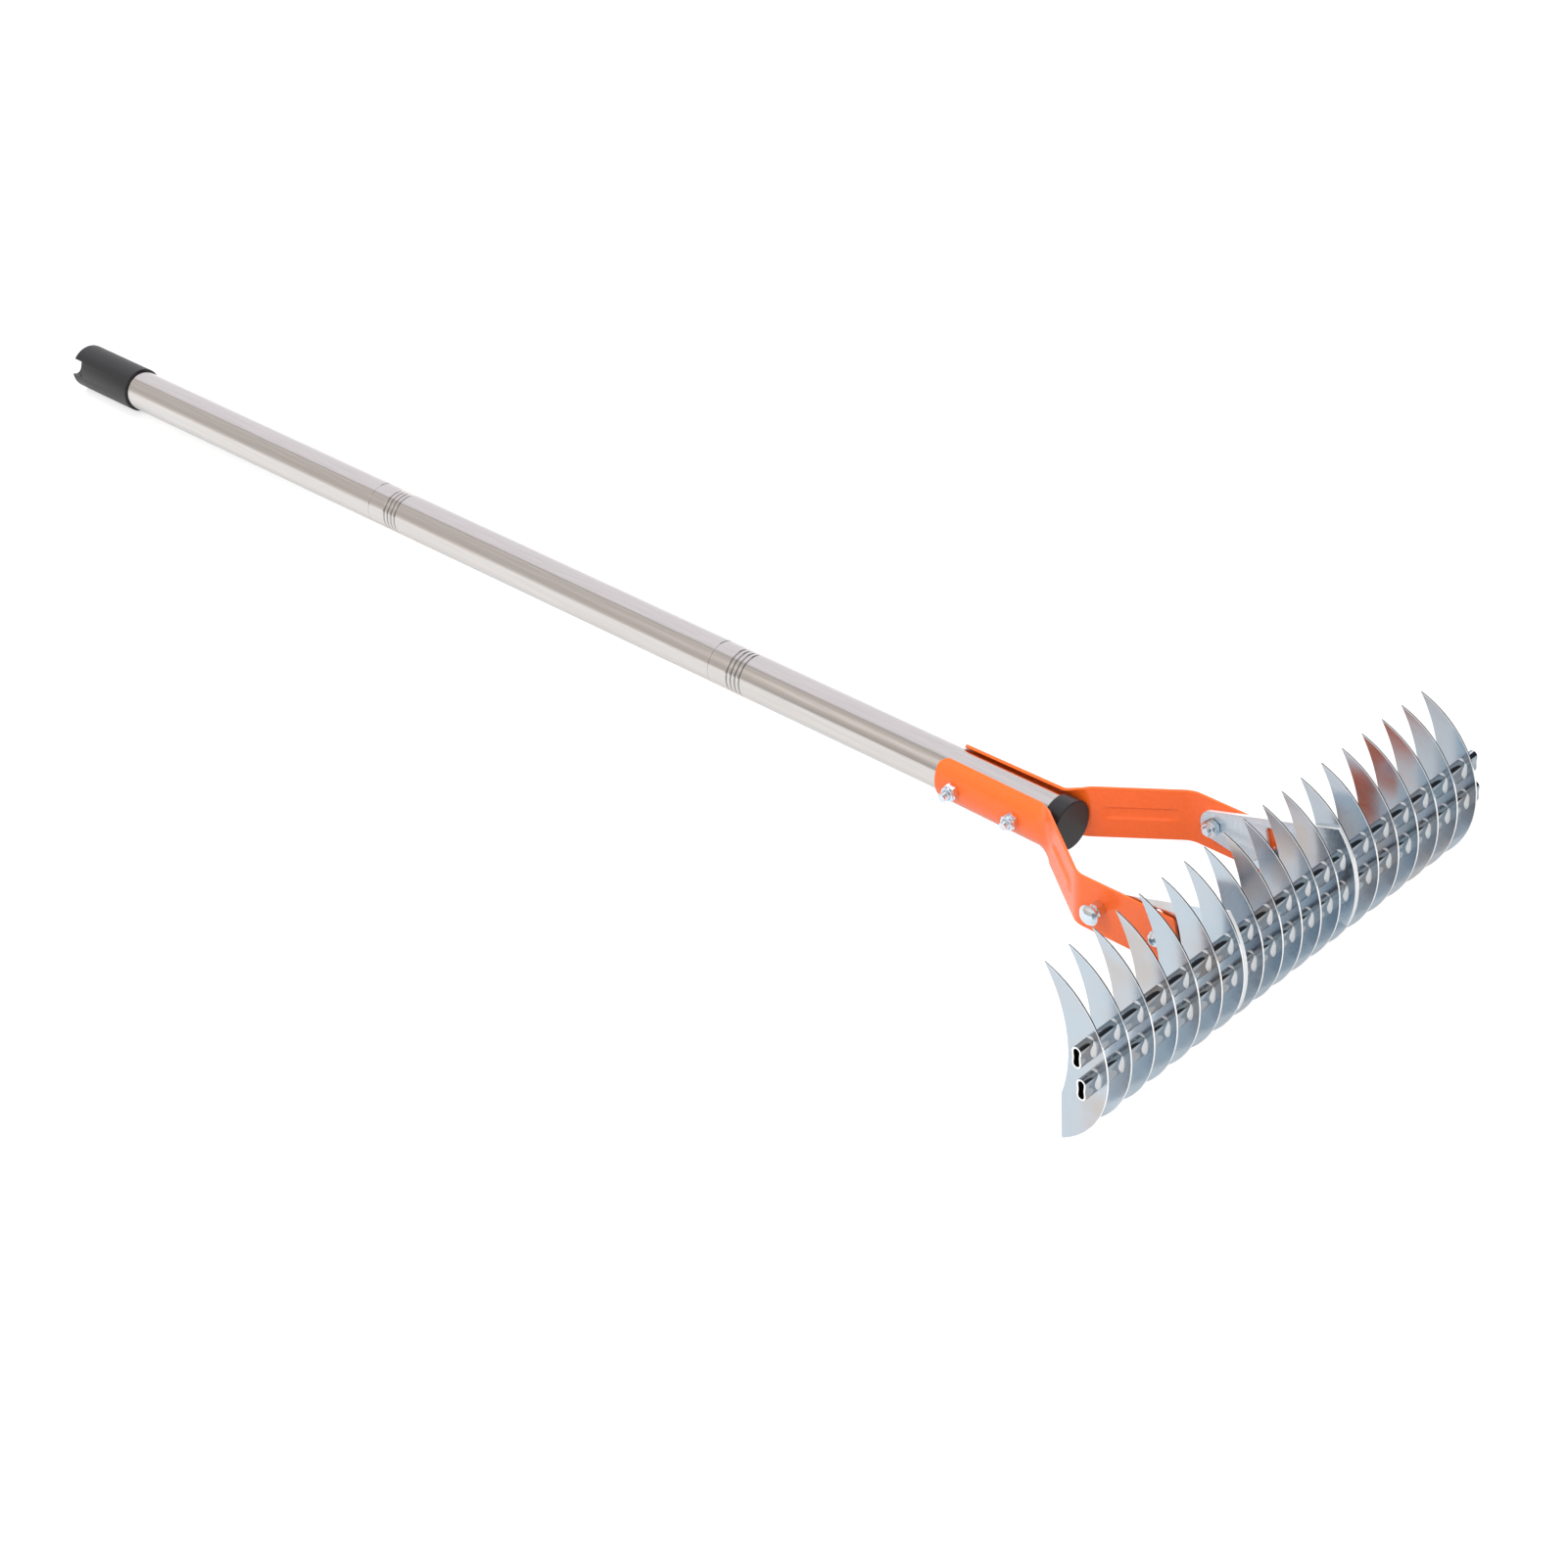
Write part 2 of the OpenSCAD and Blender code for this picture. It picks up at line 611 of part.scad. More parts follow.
module blade(i) color(zinc) lie() translate([blade_x(i), 0, 0]) difference() {
    across(-blade_t / 2, blade_t) difference() {
        blade_outline();
        bar_holes();
    }
    for (s = [-1, 1])
        translate([s * blade_t / 2, front_y, front_z]) mirror([s < 0 ? 1 : 0, 0, 0])
            rotate([90, 0, 90]) grind();
}

// Flattened tube with a bead on each side of every blade, outside its lug where it has one
module crossbar(angle) color(zinc) lie() difference() {
    union() {
        across(-bar_len / 2, bar_len) at_bar(angle) oval(bar_w, bar_h);
        for (i = blade_ids) for (s = [-1, 1]) {
            lugged = abs(blade_place(i)) == lug_blade && s != sign(blade_place(i));
            face = blade_t / 2 + seat_gap + (lugged ? lug_t + seat_gap : 0);
            middle = blade_x(i) + s * (face + bead_w / 2);
            across(middle - bead_w / 2, bead_w) at_bar(angle)
                oval(bar_w + 2 * bead_h, bar_h + 2 * bead_h);
        }
    }
    across(-bar_len / 2 - over, bar_len + 2 * over) at_bar(angle)
        oval(bar_w - 2 * bar_wall, bar_h - 2 * bar_wall);
}

upper_tube();
middle_tube();
lower_tube();
top_cap();
bottom_cap();
joint_stud(upper_seam_y);  // upper_joint_stud
joint_socket(upper_seam_y);  // upper_joint_socket
joint_stud(lower_seam_y);  // lower_joint_stud
joint_socket(lower_seam_y);  // lower_joint_socket
bracket(1);  // right_bracket
bracket(-1);  // left_bracket
clamp_bolt(clamp_ys[0]);  // rear_clamp_bolt
clamp_nut(clamp_ys[0]);  // rear_clamp_nut
clamp_bolt(clamp_ys[1]);  // front_clamp_bolt
clamp_nut(clamp_ys[1]);  // front_clamp_nut
lug(1);  // right_lug
lug(-1);  // left_lug
pivot_bolt(1);  // right_pivot_bolt
inner_nut(1, pivot_reach);  // right_pivot_nut
pivot_bolt(-1);  // left_pivot_bolt
inner_nut(-1, pivot_reach);  // left_pivot_nut
stop_bolt(1);  // right_stop_bolt
inner_nut(1, pivot_reach + stop_r);  // right_stop_nut
stop_bolt(-1);  // left_stop_bolt
inner_nut(-1, pivot_reach + stop_r);  // left_stop_nut
crossbar(upper_bar_angle);  // upper_crossbar
crossbar(-lower_bar_angle);  // lower_crossbar
for (i = blade_ids) blade(i);
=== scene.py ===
import json
import math

import bmesh
import bpy
from mathutils import Matrix, Vector


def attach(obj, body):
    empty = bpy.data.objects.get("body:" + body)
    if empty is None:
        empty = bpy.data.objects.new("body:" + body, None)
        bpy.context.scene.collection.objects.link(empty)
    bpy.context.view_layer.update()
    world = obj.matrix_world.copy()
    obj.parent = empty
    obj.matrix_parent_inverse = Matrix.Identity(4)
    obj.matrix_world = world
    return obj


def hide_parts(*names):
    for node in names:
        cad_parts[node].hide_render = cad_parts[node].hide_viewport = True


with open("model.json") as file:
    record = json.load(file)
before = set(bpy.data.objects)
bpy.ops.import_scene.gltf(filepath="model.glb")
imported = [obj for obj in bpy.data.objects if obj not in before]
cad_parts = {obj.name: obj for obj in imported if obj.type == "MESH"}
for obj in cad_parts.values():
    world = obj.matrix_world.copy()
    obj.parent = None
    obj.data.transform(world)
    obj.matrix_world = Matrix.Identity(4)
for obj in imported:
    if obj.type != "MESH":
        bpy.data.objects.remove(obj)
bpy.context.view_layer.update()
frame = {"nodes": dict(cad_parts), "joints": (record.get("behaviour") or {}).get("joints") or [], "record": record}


# Handle tubes. Three lengths of thin stainless steel tube, polished, with a small bevel on their
# ends. Four rings rolled into the foot of the middle and the lower tube hold the plugs inside.

MM = 0.001
TUBE_WALL = 1.0
SEAM_BEVEL = 0.4
SEAM_LEAD = 3 * SEAM_BEVEL
RINGS = 4
RING_SETBACK = 17.0
RING_PITCH = 3.75
RING_HALF = 1.2
RING_LEAD = 1.1 * RING_HALF
RING_DEPTH = 0.6
RING_STEPS = 8
FLUSH_DEPTH = 0.1
# Colour of the painted shade in the rings and the seams.
GROOVE_SHADE = (0.24, 0.23, 0.225, 1)
ROUND_SIDES = 128

# The handle's own frame, in mm: X across to the right, Y along it to the blades, Z up from it, with
# its start at the middle of the bottom cap's face.
grip = next(m for m in frame["record"]["mounts"] if m["name"] == "grip_end")
along = -Vector(grip["axis"]).normalized()
upward = Vector((0, -along.z, along.y))
face_reach = max(along.dot(v.co) for v in frame["nodes"]["bottom_cap"].data.vertices)
face_centre = Vector(grip["pos_m"]) + along * (face_reach - along.dot(Vector(grip["pos_m"])))
handle_turn = Matrix(((1, along.x, upward.x), (0, along.y, upward.y), (0, along.z, upward.z)))
handle = Matrix.Translation(face_centre) @ handle_turn.to_4x4() @ Matrix.Scale(MM, 4)
to_handle = handle.inverted()


def span(node):
    """Lowest and highest corner of a CAD node in the handle's own frame, in mm."""
    points = [to_handle @ v.co for v in frame["nodes"][node].data.vertices]
    return [Vector([end(p[i] for p in points) for i in range(3)]) for end in (min, max)]


def mesh_piece(name, points, faces, place=handle, sharp=32):
    """A piece from points in mm, set in place, its edges sharp above an angle."""
    mesh = bpy.data.meshes.new(name)
    mesh.from_pydata([place @ Vector(p) for p in points], [], faces)
    work = bmesh.new()
    work.from_mesh(mesh)
    bmesh.ops.remove_doubles(work, verts=work.verts, dist=0.001 * MM)
    bmesh.ops.recalc_face_normals(work, faces=work.faces)
    work.to_mesh(mesh)
    work.free()
    mesh.shade_smooth()
    mesh.set_sharp_from_angle(angle=math.radians(sharp))
    piece = bpy.data.objects.new(name, mesh)
    bpy.context.scene.collection.objects.link(piece)
    return piece


def loft(name, rings, closed=False, **how):
    """Skin over rings with equal numbers of points; a closed loft comes back to its first ring."""
    count = len(rings[0])
    steps = len(rings) if closed else len(rings) - 1
    points = [p for ring in rings for p in ring]
    faces = []
    for i in range(steps):
        here, there = i * count, (i + 1) % len(rings) * count
        for k in range(count):
            after = (k + 1) % count
            faces.append((here + k, here + after, there + after, there + k))
    if not closed:
        last = (len(rings) - 1) * count
        faces += [tuple(range(count)), tuple(range(last, last + count))]
    return mesh_piece(name, points, faces, **how)


def turned(name, outline, **how):
    """A closed outline of (radius, place along the handle), turned about the handle's axis."""
    turns = [math.tau * i / ROUND_SIDES for i in range(ROUND_SIDES)]
    return loft(name, [[(r * math.cos(t), y, r * math.sin(t)) for r, y in outline] for t in turns],
                closed=True, **how)


def fit(piece, material, body, slot, *nodes):
    """Gives a piece its material, the body it rides on and the CAD nodes it replaces."""
    if material:
        piece.data.materials.clear()
        piece.data.materials.append(material)
    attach(piece, body)
    if nodes:
        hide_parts(*nodes)


def put(tree, kind, sockets=None, **settings):
    """Adds a node to a tree, sets it, and links or fills its inputs."""
    node = tree.nodes.new(kind)
    for key, value in settings.items():
        setattr(node, key, value)
    for key, value in (sockets or {}).items():
        if isinstance(value, bpy.types.NodeSocket):
            tree.links.new(value, node.inputs[key])
        else:
            node.inputs[key].default_value = value
    return node


def new_group(name, kind, inputs, outputs):
    """A node group with named sockets, and its input and output nodes."""
    tree = bpy.data.node_groups.new(name, kind)
    for side, sockets in (("INPUT", inputs), ("OUTPUT", outputs)):
        for socket, form in sockets.items():
            tree.interface.new_socket(socket, in_out=side, socket_type="NodeSocket" + form)
    return tree, put(tree, "NodeGroupInput"), put(tree, "NodeGroupOutput")


def blend(tree, share, below, above, **how):
    """Mixes two colours."""
    sockets = {0: share, 6: below, 7: above}
    return put(tree, "ShaderNodeMix", sockets, data_type="RGBA", **how).outputs[2]


# Grain that every finish has at its own scale: a noise drawn out along one way, which shifts the
# colour and the roughness a little and gives a height for the bump.
grain, given, result = new_group(
    "surface_grain", "ShaderNodeTree",
    {"Stretch": "Vector", "Light": "Color", "Dark": "Color", "Smooth": "Float", "Rough": "Float"},
    {"Colour": "Color", "Roughness": "Float", "Height": "Float"})
place = put(grain, "ShaderNodeTexCoord").outputs["Object"]
drawn = put(grain, "ShaderNodeVectorMath", {0: place, 1: given.outputs["Stretch"]},
            operation="MULTIPLY")
noise = put(grain, "ShaderNodeTexNoise", {"Vector": drawn.outputs[0], "Scale": 1.0, "Detail": 5.0})
spread = put(grain, "ShaderNodeMapRange",
             {"Value": noise.outputs[0], "From Min": 0.3, "From Max": 0.7}).outputs[0]
tone = blend(grain, spread, given.outputs["Light"], given.outputs["Dark"])
gloss = put(grain, "ShaderNodeMapRange", {"Value": spread, "To Min": given.outputs["Smooth"],
                                          "To Max": given.outputs["Rough"]})
for socket, value in (("Colour", tone), ("Roughness", gloss.outputs[0]), ("Height", spread)):
    grain.links.new(value, result.inputs[socket])


def new_material(name, **sockets):
    """A material, its tree and its Principled BSDF, with the shader's fixed values set on it."""
    material = bpy.data.materials.new(name)
    material.use_nodes = True
    shader = material.node_tree.nodes["Principled BSDF"]
    for key, value in sockets.items():
        shader.inputs[key.replace("_", " ")].default_value = value
    return material, material.node_tree, shader


def add_grain(tree, shader, stretch, light, dark, smooth, rough, depth):
    """Feeds the shader from the shared grain; depth is the height of its bump in mm."""
    made = put(tree, "ShaderNodeGroup", node_tree=grain)
    for key, value in (("Stretch", stretch), ("Light", (*light, 1)), ("Dark", (*dark, 1)),
                       ("Smooth", smooth), ("Rough", rough)):
        made.inputs[key].default_value = value
    bump = put(tree, "ShaderNodeBump", {"Height": made.outputs["Height"], "Distance": depth * MM})
    tree.links.new(made.outputs["Colour"], shader.inputs["Base Color"])
    tree.links.new(made.outputs["Roughness"], shader.inputs["Roughness"])
    tree.links.new(bump.outputs[0], shader.inputs["Normal"])
    return made


polished_steel, tree, shader = new_material("polished_steel", Metallic=1.0)
made = add_grain(tree, shader, stretch=(900, 12, 900), light=(0.72, 0.69, 0.67),
                 dark=(0.66, 0.63, 0.61), smooth=0.14, rough=0.2, depth=0.001)

# The steel is painted darker in the rings and the seams, as painted shade where they sink into the tube.
painted_groove_shade = put(tree, "ShaderNodeAttribute", attribute_name="painted_groove_shade").outputs["Fac"]
tree.links.new(blend(tree, painted_groove_shade, made.outputs["Colour"], GROOVE_SHADE), shader.inputs["Base Color"])

for tube in ("upper_tube", "middle_tube", "lower_tube"):
    low, high = span(tube)
    tube_r, foot, head = high.x, low.y, high.y
    outline = [(tube_r - TUBE_WALL, foot), (tube_r - SEAM_BEVEL, foot),
               (tube_r, foot + SEAM_BEVEL), (tube_r, foot + SEAM_LEAD)]
    for i in range(0 if tube == "upper_tube" else RINGS):
        middle = foot + RING_SETBACK + i * RING_PITCH
        outline.append((tube_r, middle - RING_LEAD))
        for k in range(-RING_STEPS, RING_STEPS + 1):
            groove = RING_DEPTH * (0.5 + 0.5 * math.cos(math.pi * k / RING_STEPS))
            outline.append((tube_r - groove, middle + RING_HALF * k / RING_STEPS))
        outline.append((tube_r, middle + RING_LEAD))
    outline += [(tube_r, head - SEAM_LEAD), (tube_r, head - SEAM_BEVEL),
                (tube_r - SEAM_BEVEL, head), (tube_r - TUBE_WALL, head)]
    piece = turned(tube + "_polished", outline)
    # Each point's share of painted shade, by how deep it lies below the tube's face.
    marks = piece.data.attributes.new("painted_groove_shade", "FLOAT", "POINT")
    for point in piece.data.vertices:
        at = to_handle @ point.co
        depth = tube_r - math.hypot(at.x, at.z)
        share = (depth - FLUSH_DEPTH) / (RING_DEPTH - FLUSH_DEPTH)
        marks.data[point.index].value = max(0.0, min(1.0, share))
    fit(piece, polished_steel, "handle", "handle_tube", tube)


# Joint plugs. Moulded nylon plugs and sleeves inside the tubes, which screw into each other where
# two tubes meet. They are out of sight, so they keep their CAD solids.

nylon, tree, shader = new_material("black_nylon", Specular_IOR_Level=0.4)
add_grain(tree, shader, stretch=(700, 700, 700), light=(0.022, 0.022, 0.024),
          dark=(0.016, 0.016, 0.018), smooth=0.45, rough=0.6, depth=0.01)
for seam in ("upper", "lower"):
    for plug in ("stud", "socket"):
        node = frame["nodes"][f"{seam}_joint_{plug}"]
        node.data.materials.clear()
        node.data.materials.append(nylon)


# Caps. Charcoal plastic mouldings pushed over the ends of the handle: a long one with a notch in
# the side of its end, for hanging the rake up, and a short one between the arms of the fork.

TOP_CAP_END = 19.0
TOP_CAP_ROUND = 1.2
BOTTOM_CAP_END = 2.5
BOTTOM_CAP_ROUND = 0.8
RIM_ROUND = 0.4
NOTCH_W = 12.0
NOTCH_LEN = 12.5
NOTCH_FLOOR = 8.5
NOTCH_ROUND = 4.0
NOTCH_TURN = 20.0
NOTCH_EDGE = 0.6
CORNER_STEPS = 6


def cap_outline(cap_r, bore_r, rim, floor, end, round_r):
    """Half section of a cap: its rim, its round outer edge, its end and its bore to the floor."""
    way = 1 if end > rim else -1
    turns = [math.radians(90 * i / CORNER_STEPS) for i in range(CORNER_STEPS + 1)]
    outline = [(bore_r, rim), (cap_r - RIM_ROUND, rim), (cap_r, rim + way * RIM_ROUND),
               (cap_r, rim + 3 * way * RIM_ROUND), (cap_r, end - 2 * way * round_r)]
    outline += [(cap_r - round_r * (1 - math.cos(t)), end - way * round_r * (1 - math.sin(t)))
                for t in turns]
    return outline + [(cap_r - 2 * round_r, end), (0, end), (0, floor), (bore_r, floor)]


charcoal_plastic, tree, shader = new_material("charcoal_plastic", Specular_IOR_Level=0.5)
add_grain(tree, shader, stretch=(1600, 1600, 1600), light=(0.014, 0.0135, 0.0155),
          dark=(0.010, 0.0095, 0.0115), smooth=0.36, rough=0.48, depth=0.015)

low, high = span("top_cap")
top_cap = turned("top_cap_moulding", cap_outline(
    high.x, tube_r, high.y, low.y + TOP_CAP_END, low.y, TOP_CAP_ROUND))

# The notch is cut with the corners of its floor rounded and its edges broken.
side, floor_line = NOTCH_W / 2, NOTCH_FLOOR + NOTCH_ROUND
notch = [(2 * tube_r, -side), (2 * tube_r, side)]
for middle, first in ((side - NOTCH_ROUND, 90), (NOTCH_ROUND - side, 180)):
    for i in range(CORNER_STEPS + 1):
        turn = math.radians(first + 90 * i / CORNER_STEPS)
        notch.append((floor_line + NOTCH_ROUND * math.cos(turn),
                      middle + NOTCH_ROUND * math.sin(turn)))
turn = Matrix.Rotation(math.radians(-NOTCH_TURN), 4, "Y")
cutter = loft("notch_cutter", [[turn @ Vector((out, low.y + y, across)) for out, across in notch]
                               for y in (-NOTCH_LEN, NOTCH_LEN)])
cut = top_cap.modifiers.new("notch", "BOOLEAN")
cut.object = cutter
cut.operation = "DIFFERENCE"
cut.solver = "EXACT"
ease = top_cap.modifiers.new("edges", "BEVEL")
ease.width = NOTCH_EDGE * MM
ease.segments = 3
ease.limit_method = "ANGLE"
ease.angle_limit = math.radians(50)


def settle(piece, sharp=32):
    """Turns a piece's modifiers into a plain mesh."""
    bpy.context.view_layer.update()
    made = bpy.data.meshes.new_from_object(
        piece.evaluated_get(bpy.context.evaluated_depsgraph_get()))
    piece.modifiers.clear()
    piece.data = made
    made.shade_smooth()
    made.set_sharp_from_angle(angle=math.radians(sharp))


settle(top_cap)
bpy.data.objects.remove(cutter)
fit(top_cap, charcoal_plastic, "handle", "cap", "top_cap")

low, high = span("bottom_cap")
bottom_cap = turned("bottom_cap_moulding", cap_outline(
    high.x, tube_r, low.y, high.y - BOTTOM_CAP_END, high.y, BOTTOM_CAP_ROUND))
fit(bottom_cap, charcoal_plastic, "handle", "cap", "bottom_cap")


# Fork brackets. Two strips of steel sheet, pressed to a cup that lies on the tube, bent out to an
# arm with a rib along it and bent back to a flat plate, then painted orange.

SHEET = 2.0
CLAMP_GAP = 0.2
CUP_LEN = 88.5
CUP_EASE = 3.0
CUP_CORNER = 8.0
CUP_SPLAY = 0.853
ARM_ANGLE = 35.5
CUP_BEND_R = 14.0
PLATE_BEND_R = 16.0
FLATTEN_LEAD = 9.0
FLATTEN_LEN = 17.0
RIB_W = 9.0
RIB_H = 1.3
RIB_FLANK = RIB_W / 6
RIB_START = 0.04
RIB_RUN_IN = 0.2
RIB_END = 0.98
RIB_RUN_OUT = 0.16
PLATE_NOSE = 57.0
PLATE_CORNER = 3.0
PLATE_SLANT = 0.15
SHEET_EDGE = 0.5
FINE_EDGE = 0.4 * SHEET_EDGE
ACROSS_STEPS = 48
EDGE_STEPS = 6
CUP_CORNER_STEPS = 12
LEAD_STEPS = 11
BEND_STEPS = 16
ARM_STEPS = 40
NOSE_STEPS = 8

joint = frame["joints"][0]
pivot = to_handle @ Vector(joint["pos_m"])


def smooth(share):
    share = min(1.0, max(0.0, share))
    return share * share * (3 - 2 * share)


def mix(a, b, share):
    return a + (b - a) * share


low, high = span("right_bracket")
strip_half = (high.z - low.z) / 2
plate_mid_x = high.x - SHEET / 2
cup_rear, cup_front = low.y, low.y + CUP_LEN
cup_r = tube_r + CUP_EASE + SHEET / 2
splay, bend = math.radians(CUP_SPLAY), math.radians(ARM_ANGLE)


def cup_x(y):
    return tube_r + CLAMP_GAP + SHEET / 2 + (y - cup_rear) * math.tan(splay)


arm_x = cup_x(cup_front) + CUP_BEND_R * (math.cos(splay) - math.cos(bend))
arm_y = cup_front + CUP_BEND_R * (math.sin(bend) - math.sin(splay))
arm_len = (plate_mid_x - arm_x - PLATE_BEND_R * (1 - math.cos(bend))) / math.sin(bend)
plate_y = arm_y + arm_len * math.cos(bend) + PLATE_BEND_R * math.sin(bend)
plate_end = pivot.y + PLATE_NOSE
bend_len = CUP_BEND_R * (bend - splay)


def strip_stations():
    """Places along the strip: x, y, heading, flatness, corner inset, rib, end slant, edge trim."""
    for y, trim in ((cup_rear, SHEET_EDGE), (cup_rear + FINE_EDGE, FINE_EDGE)):
        turn = math.acos(1 - (y - cup_rear) / CUP_CORNER)
        yield cup_x(y), y, splay, 0, CUP_CORNER * (1 - math.sin(turn)), 0, 0, trim
    for i in range(2, CUP_CORNER_STEPS + 1):
        turn = math.radians(90 * i / CUP_CORNER_STEPS)
        y = cup_rear + CUP_CORNER * (1 - math.cos(turn))
        yield cup_x(y), y, splay, 0, CUP_CORNER * (1 - math.sin(turn)), 0, 0, 0
    for i in range(LEAD_STEPS):
        lead = FLATTEN_LEAD * i / LEAD_STEPS
        y = cup_front - FLATTEN_LEAD + lead
        yield cup_x(y), y, splay, smooth(lead / FLATTEN_LEN), 0, 0, 0, 0
    for i in range(BEND_STEPS + 1):
        turn = mix(splay, bend, i / BEND_STEPS)
        yield (arm_x - CUP_BEND_R * (math.cos(turn) - math.cos(bend)),
               arm_y - CUP_BEND_R * (math.sin(bend) - math.sin(turn)), turn,
               smooth((FLATTEN_LEAD + bend_len * i / BEND_STEPS) / FLATTEN_LEN), 0, 0, 0, 0)
    for i in range(1, ARM_STEPS):
        share = i / ARM_STEPS
        rib = smooth((share - RIB_START) / RIB_RUN_IN) * smooth((RIB_END - share) / RIB_RUN_OUT)
        yield (arm_x + arm_len * share * math.sin(bend),
               arm_y + arm_len * share * math.cos(bend), bend,
               smooth((FLATTEN_LEAD + bend_len + arm_len * share) / FLATTEN_LEN), 0, rib, 0, 0)
    for i in range(BEND_STEPS + 1):
        turn = bend * (1 - i / BEND_STEPS)
        yield (plate_mid_x - PLATE_BEND_R * (1 - math.cos(turn)),
               plate_y - PLATE_BEND_R * math.sin(turn), turn, 1, 0, 0, 0, 0)
    for i in range(NOSE_STEPS + 1):
        turn = math.radians(90 * i / NOSE_STEPS)
        trim = SHEET_EDGE if i == NOSE_STEPS else FINE_EDGE if i == NOSE_STEPS - 1 else 0
        yield (plate_mid_x, plate_end - PLATE_CORNER * (1 - math.sin(turn)), 0, 1,
               PLATE_CORNER * (1 - math.cos(turn)), 0, 1, trim)


def strip_ring(side, x, y, heading, flat, inset, rib, slant, trim):
    """Section of the strip at a station, with round edges: up its outer face, down its inner."""
    half_h = strip_half - inset - SHEET_EDGE
    half_t = SHEET / 2 - trim
    edge = min(SHEET_EDGE, half_t)
    walk = [(half_h * (2 * k / ACROSS_STEPS - 1), half_t) for k in range(ACROSS_STEPS + 1)]
    for k in range(1, EDGE_STEPS):
        turn = math.radians(180 * k / EDGE_STEPS)
        way = 1 if 2 * k < EDGE_STEPS else 0 if 2 * k == EDGE_STEPS else -1
        walk.append((half_h + (SHEET_EDGE - 0.5 * trim) * math.sin(turn),
                     (half_t - edge) * way + edge * math.cos(turn)))
    ring = []
    for across, through in walk + [(-a, -t) for a, t in walk]:
        turn = across / cup_r
        press = RIB_H * rib * smooth((RIB_W / 2 - abs(across)) / RIB_FLANK)
        out = mix(cup_r * (math.cos(turn) - 1), press, flat)
        lean = turn * (1 - flat)
        z = mix(cup_r * math.sin(turn), across, flat) + through * math.sin(lean)
        n = out + through * math.cos(lean)
        ring.append((side * (x + n * math.cos(heading)),
                     y - n * math.sin(heading) - PLATE_SLANT * z * slant, z))
    return ring


orange_paint, tree, shader = new_material(
    "orange_paint", Coat_Weight=0.35, Coat_Roughness=0.12, Specular_IOR_Level=0.4)
add_grain(tree, shader, stretch=(420, 420, 420), light=(0.97, 0.145, 0.017),
          dark=(0.93, 0.132, 0.014), smooth=0.3, rough=0.38, depth=0.006)

for name, side in (("right_bracket", 1), ("left_bracket", -1)):
    rings = [strip_ring(side, *station) for station in strip_stations()]
    fit(loft(name + "_painted", rings, sharp=38), orange_paint, "handle", "bracket", name)


# Fasteners. Zinc plated steel bolts and locking nuts: two hex bolts through the cups and the tube,
# a round headed bolt on a hex collar at each pivot and a button headed bolt at each stop.

# A nut's ring and mouth are pairs of an inset or gap in mm and a share of the ring's height. A turn
# of thread is pairs of a share of the pitch and a share of the depth.
HEX = 6
HEX_FACE = 0.98
HEX_CHAMFER = 0.55
NUT_HALF = 5.0
NUT_HEX_H = 4.5
NUT_RING_H = 1.5
NUT_RING_R = 4.75
NUT_RING_ROUND = ((0, 0.6), (0.35, 0.9), (0.8, 1))
NUT_MOUTH = ((0.5, 1), (0.1, 0.6))
NUT_BITE = 0.2
NUT_FACE = 0.3
HEX_HEAD_H = 4.0
BOLT_R = 3.0
THREAD_PITCH = 1.0
THREAD_DEPTH = 0.35
THREAD_SHAPE = ((0, 0), (0.2, 0), (0.5, 1), (0.7, 1))
THREAD_END = 0.3
CLAMP_PLAIN = 0.7
DOME_R = 6.75
DOME_H = 3.8
DOME_RIM = 0.25
DOME_RIM_IN = 0.15
DOME_STEPS = 12
COLLAR_HALF = 4.3
COLLAR_H = 6.0
STEM_R = 3.6
NECK_LEN = 10.5
PIVOT_THREADS = 5
BUTTON_R = 5.25
BUTTON_H = 3.3
BUTTON_RIM = 0.2
BUTTON_PLAIN = 1.5
KEY_HALF = 2.0
KEY_DEPTH = 2.0
KEY_CHAMFER = 0.25
KEY_LIP = 0.15
CROWN_START = 1.35 * KEY_HALF
HEAD_SIDES = 72
NUT_SEED, CLAMP_SEED, PIVOT_SEED, STOP_SEED = 3, 5, 7, 11


def spun(name, outline):
    """A body about Z from (radius, height, corners, limit): corners make flats of that radius."""
    rings = []
    for r, z, *form in outline:
        corners = form[0] if form else 0
        limit = form[1] if len(form) > 1 else math.inf
        ring = []
        for i in range(HEAD_SIDES):
            turn = math.tau * i / HEAD_SIDES
            reach = r
            if corners:
                wedge = math.tau / corners
                reach = min(limit, r / math.cos(turn % wedge - wedge / 2))
            ring.append((reach * math.cos(turn), reach * math.sin(turn), z))
        rings.append(ring)
    return loft(name, rings, place=Matrix.Scale(MM, 4), sharp=28)


def hexagon(half, bottom, top):
    """Outline of a hexagon from one face to the other, with its corners chamfered."""
    corner = half / math.cos(math.radians(30))
    chamfer = corner - half
    return [(half, bottom, HEX, half * HEX_FACE),
            (half, bottom + HEX_CHAMFER * chamfer, HEX, corner),
            (half, top - HEX_CHAMFER * chamfer, HEX, corner), (half, top, HEX, half * HEX_FACE)]


def threads(top, bottom):
    """Outline of a thread down to a chamfered end."""
    outline, z = [], top
    while z > bottom + THREAD_PITCH:
        outline += [(BOLT_R - deep * THREAD_DEPTH, z - down * THREAD_PITCH)
                    for down, deep in THREAD_SHAPE]
        z -= THREAD_PITCH
    return outline + [(BOLT_R - THREAD_DEPTH, bottom + THREAD_END * THREAD_PITCH),
                      (BOLT_R - 2 * THREAD_DEPTH, bottom)]


def dome(r, h, base):
    """Outline of a round head down from its top to its widest."""
    ball = (r * r + h * h) / (2 * h)
    sweep = math.asin(min(1, r / ball))
    turns = [sweep * i / DOME_STEPS for i in range(DOME_STEPS + 1)]
    return [(ball * math.sin(t), base + h - ball * (1 - math.cos(t))) for t in turns]


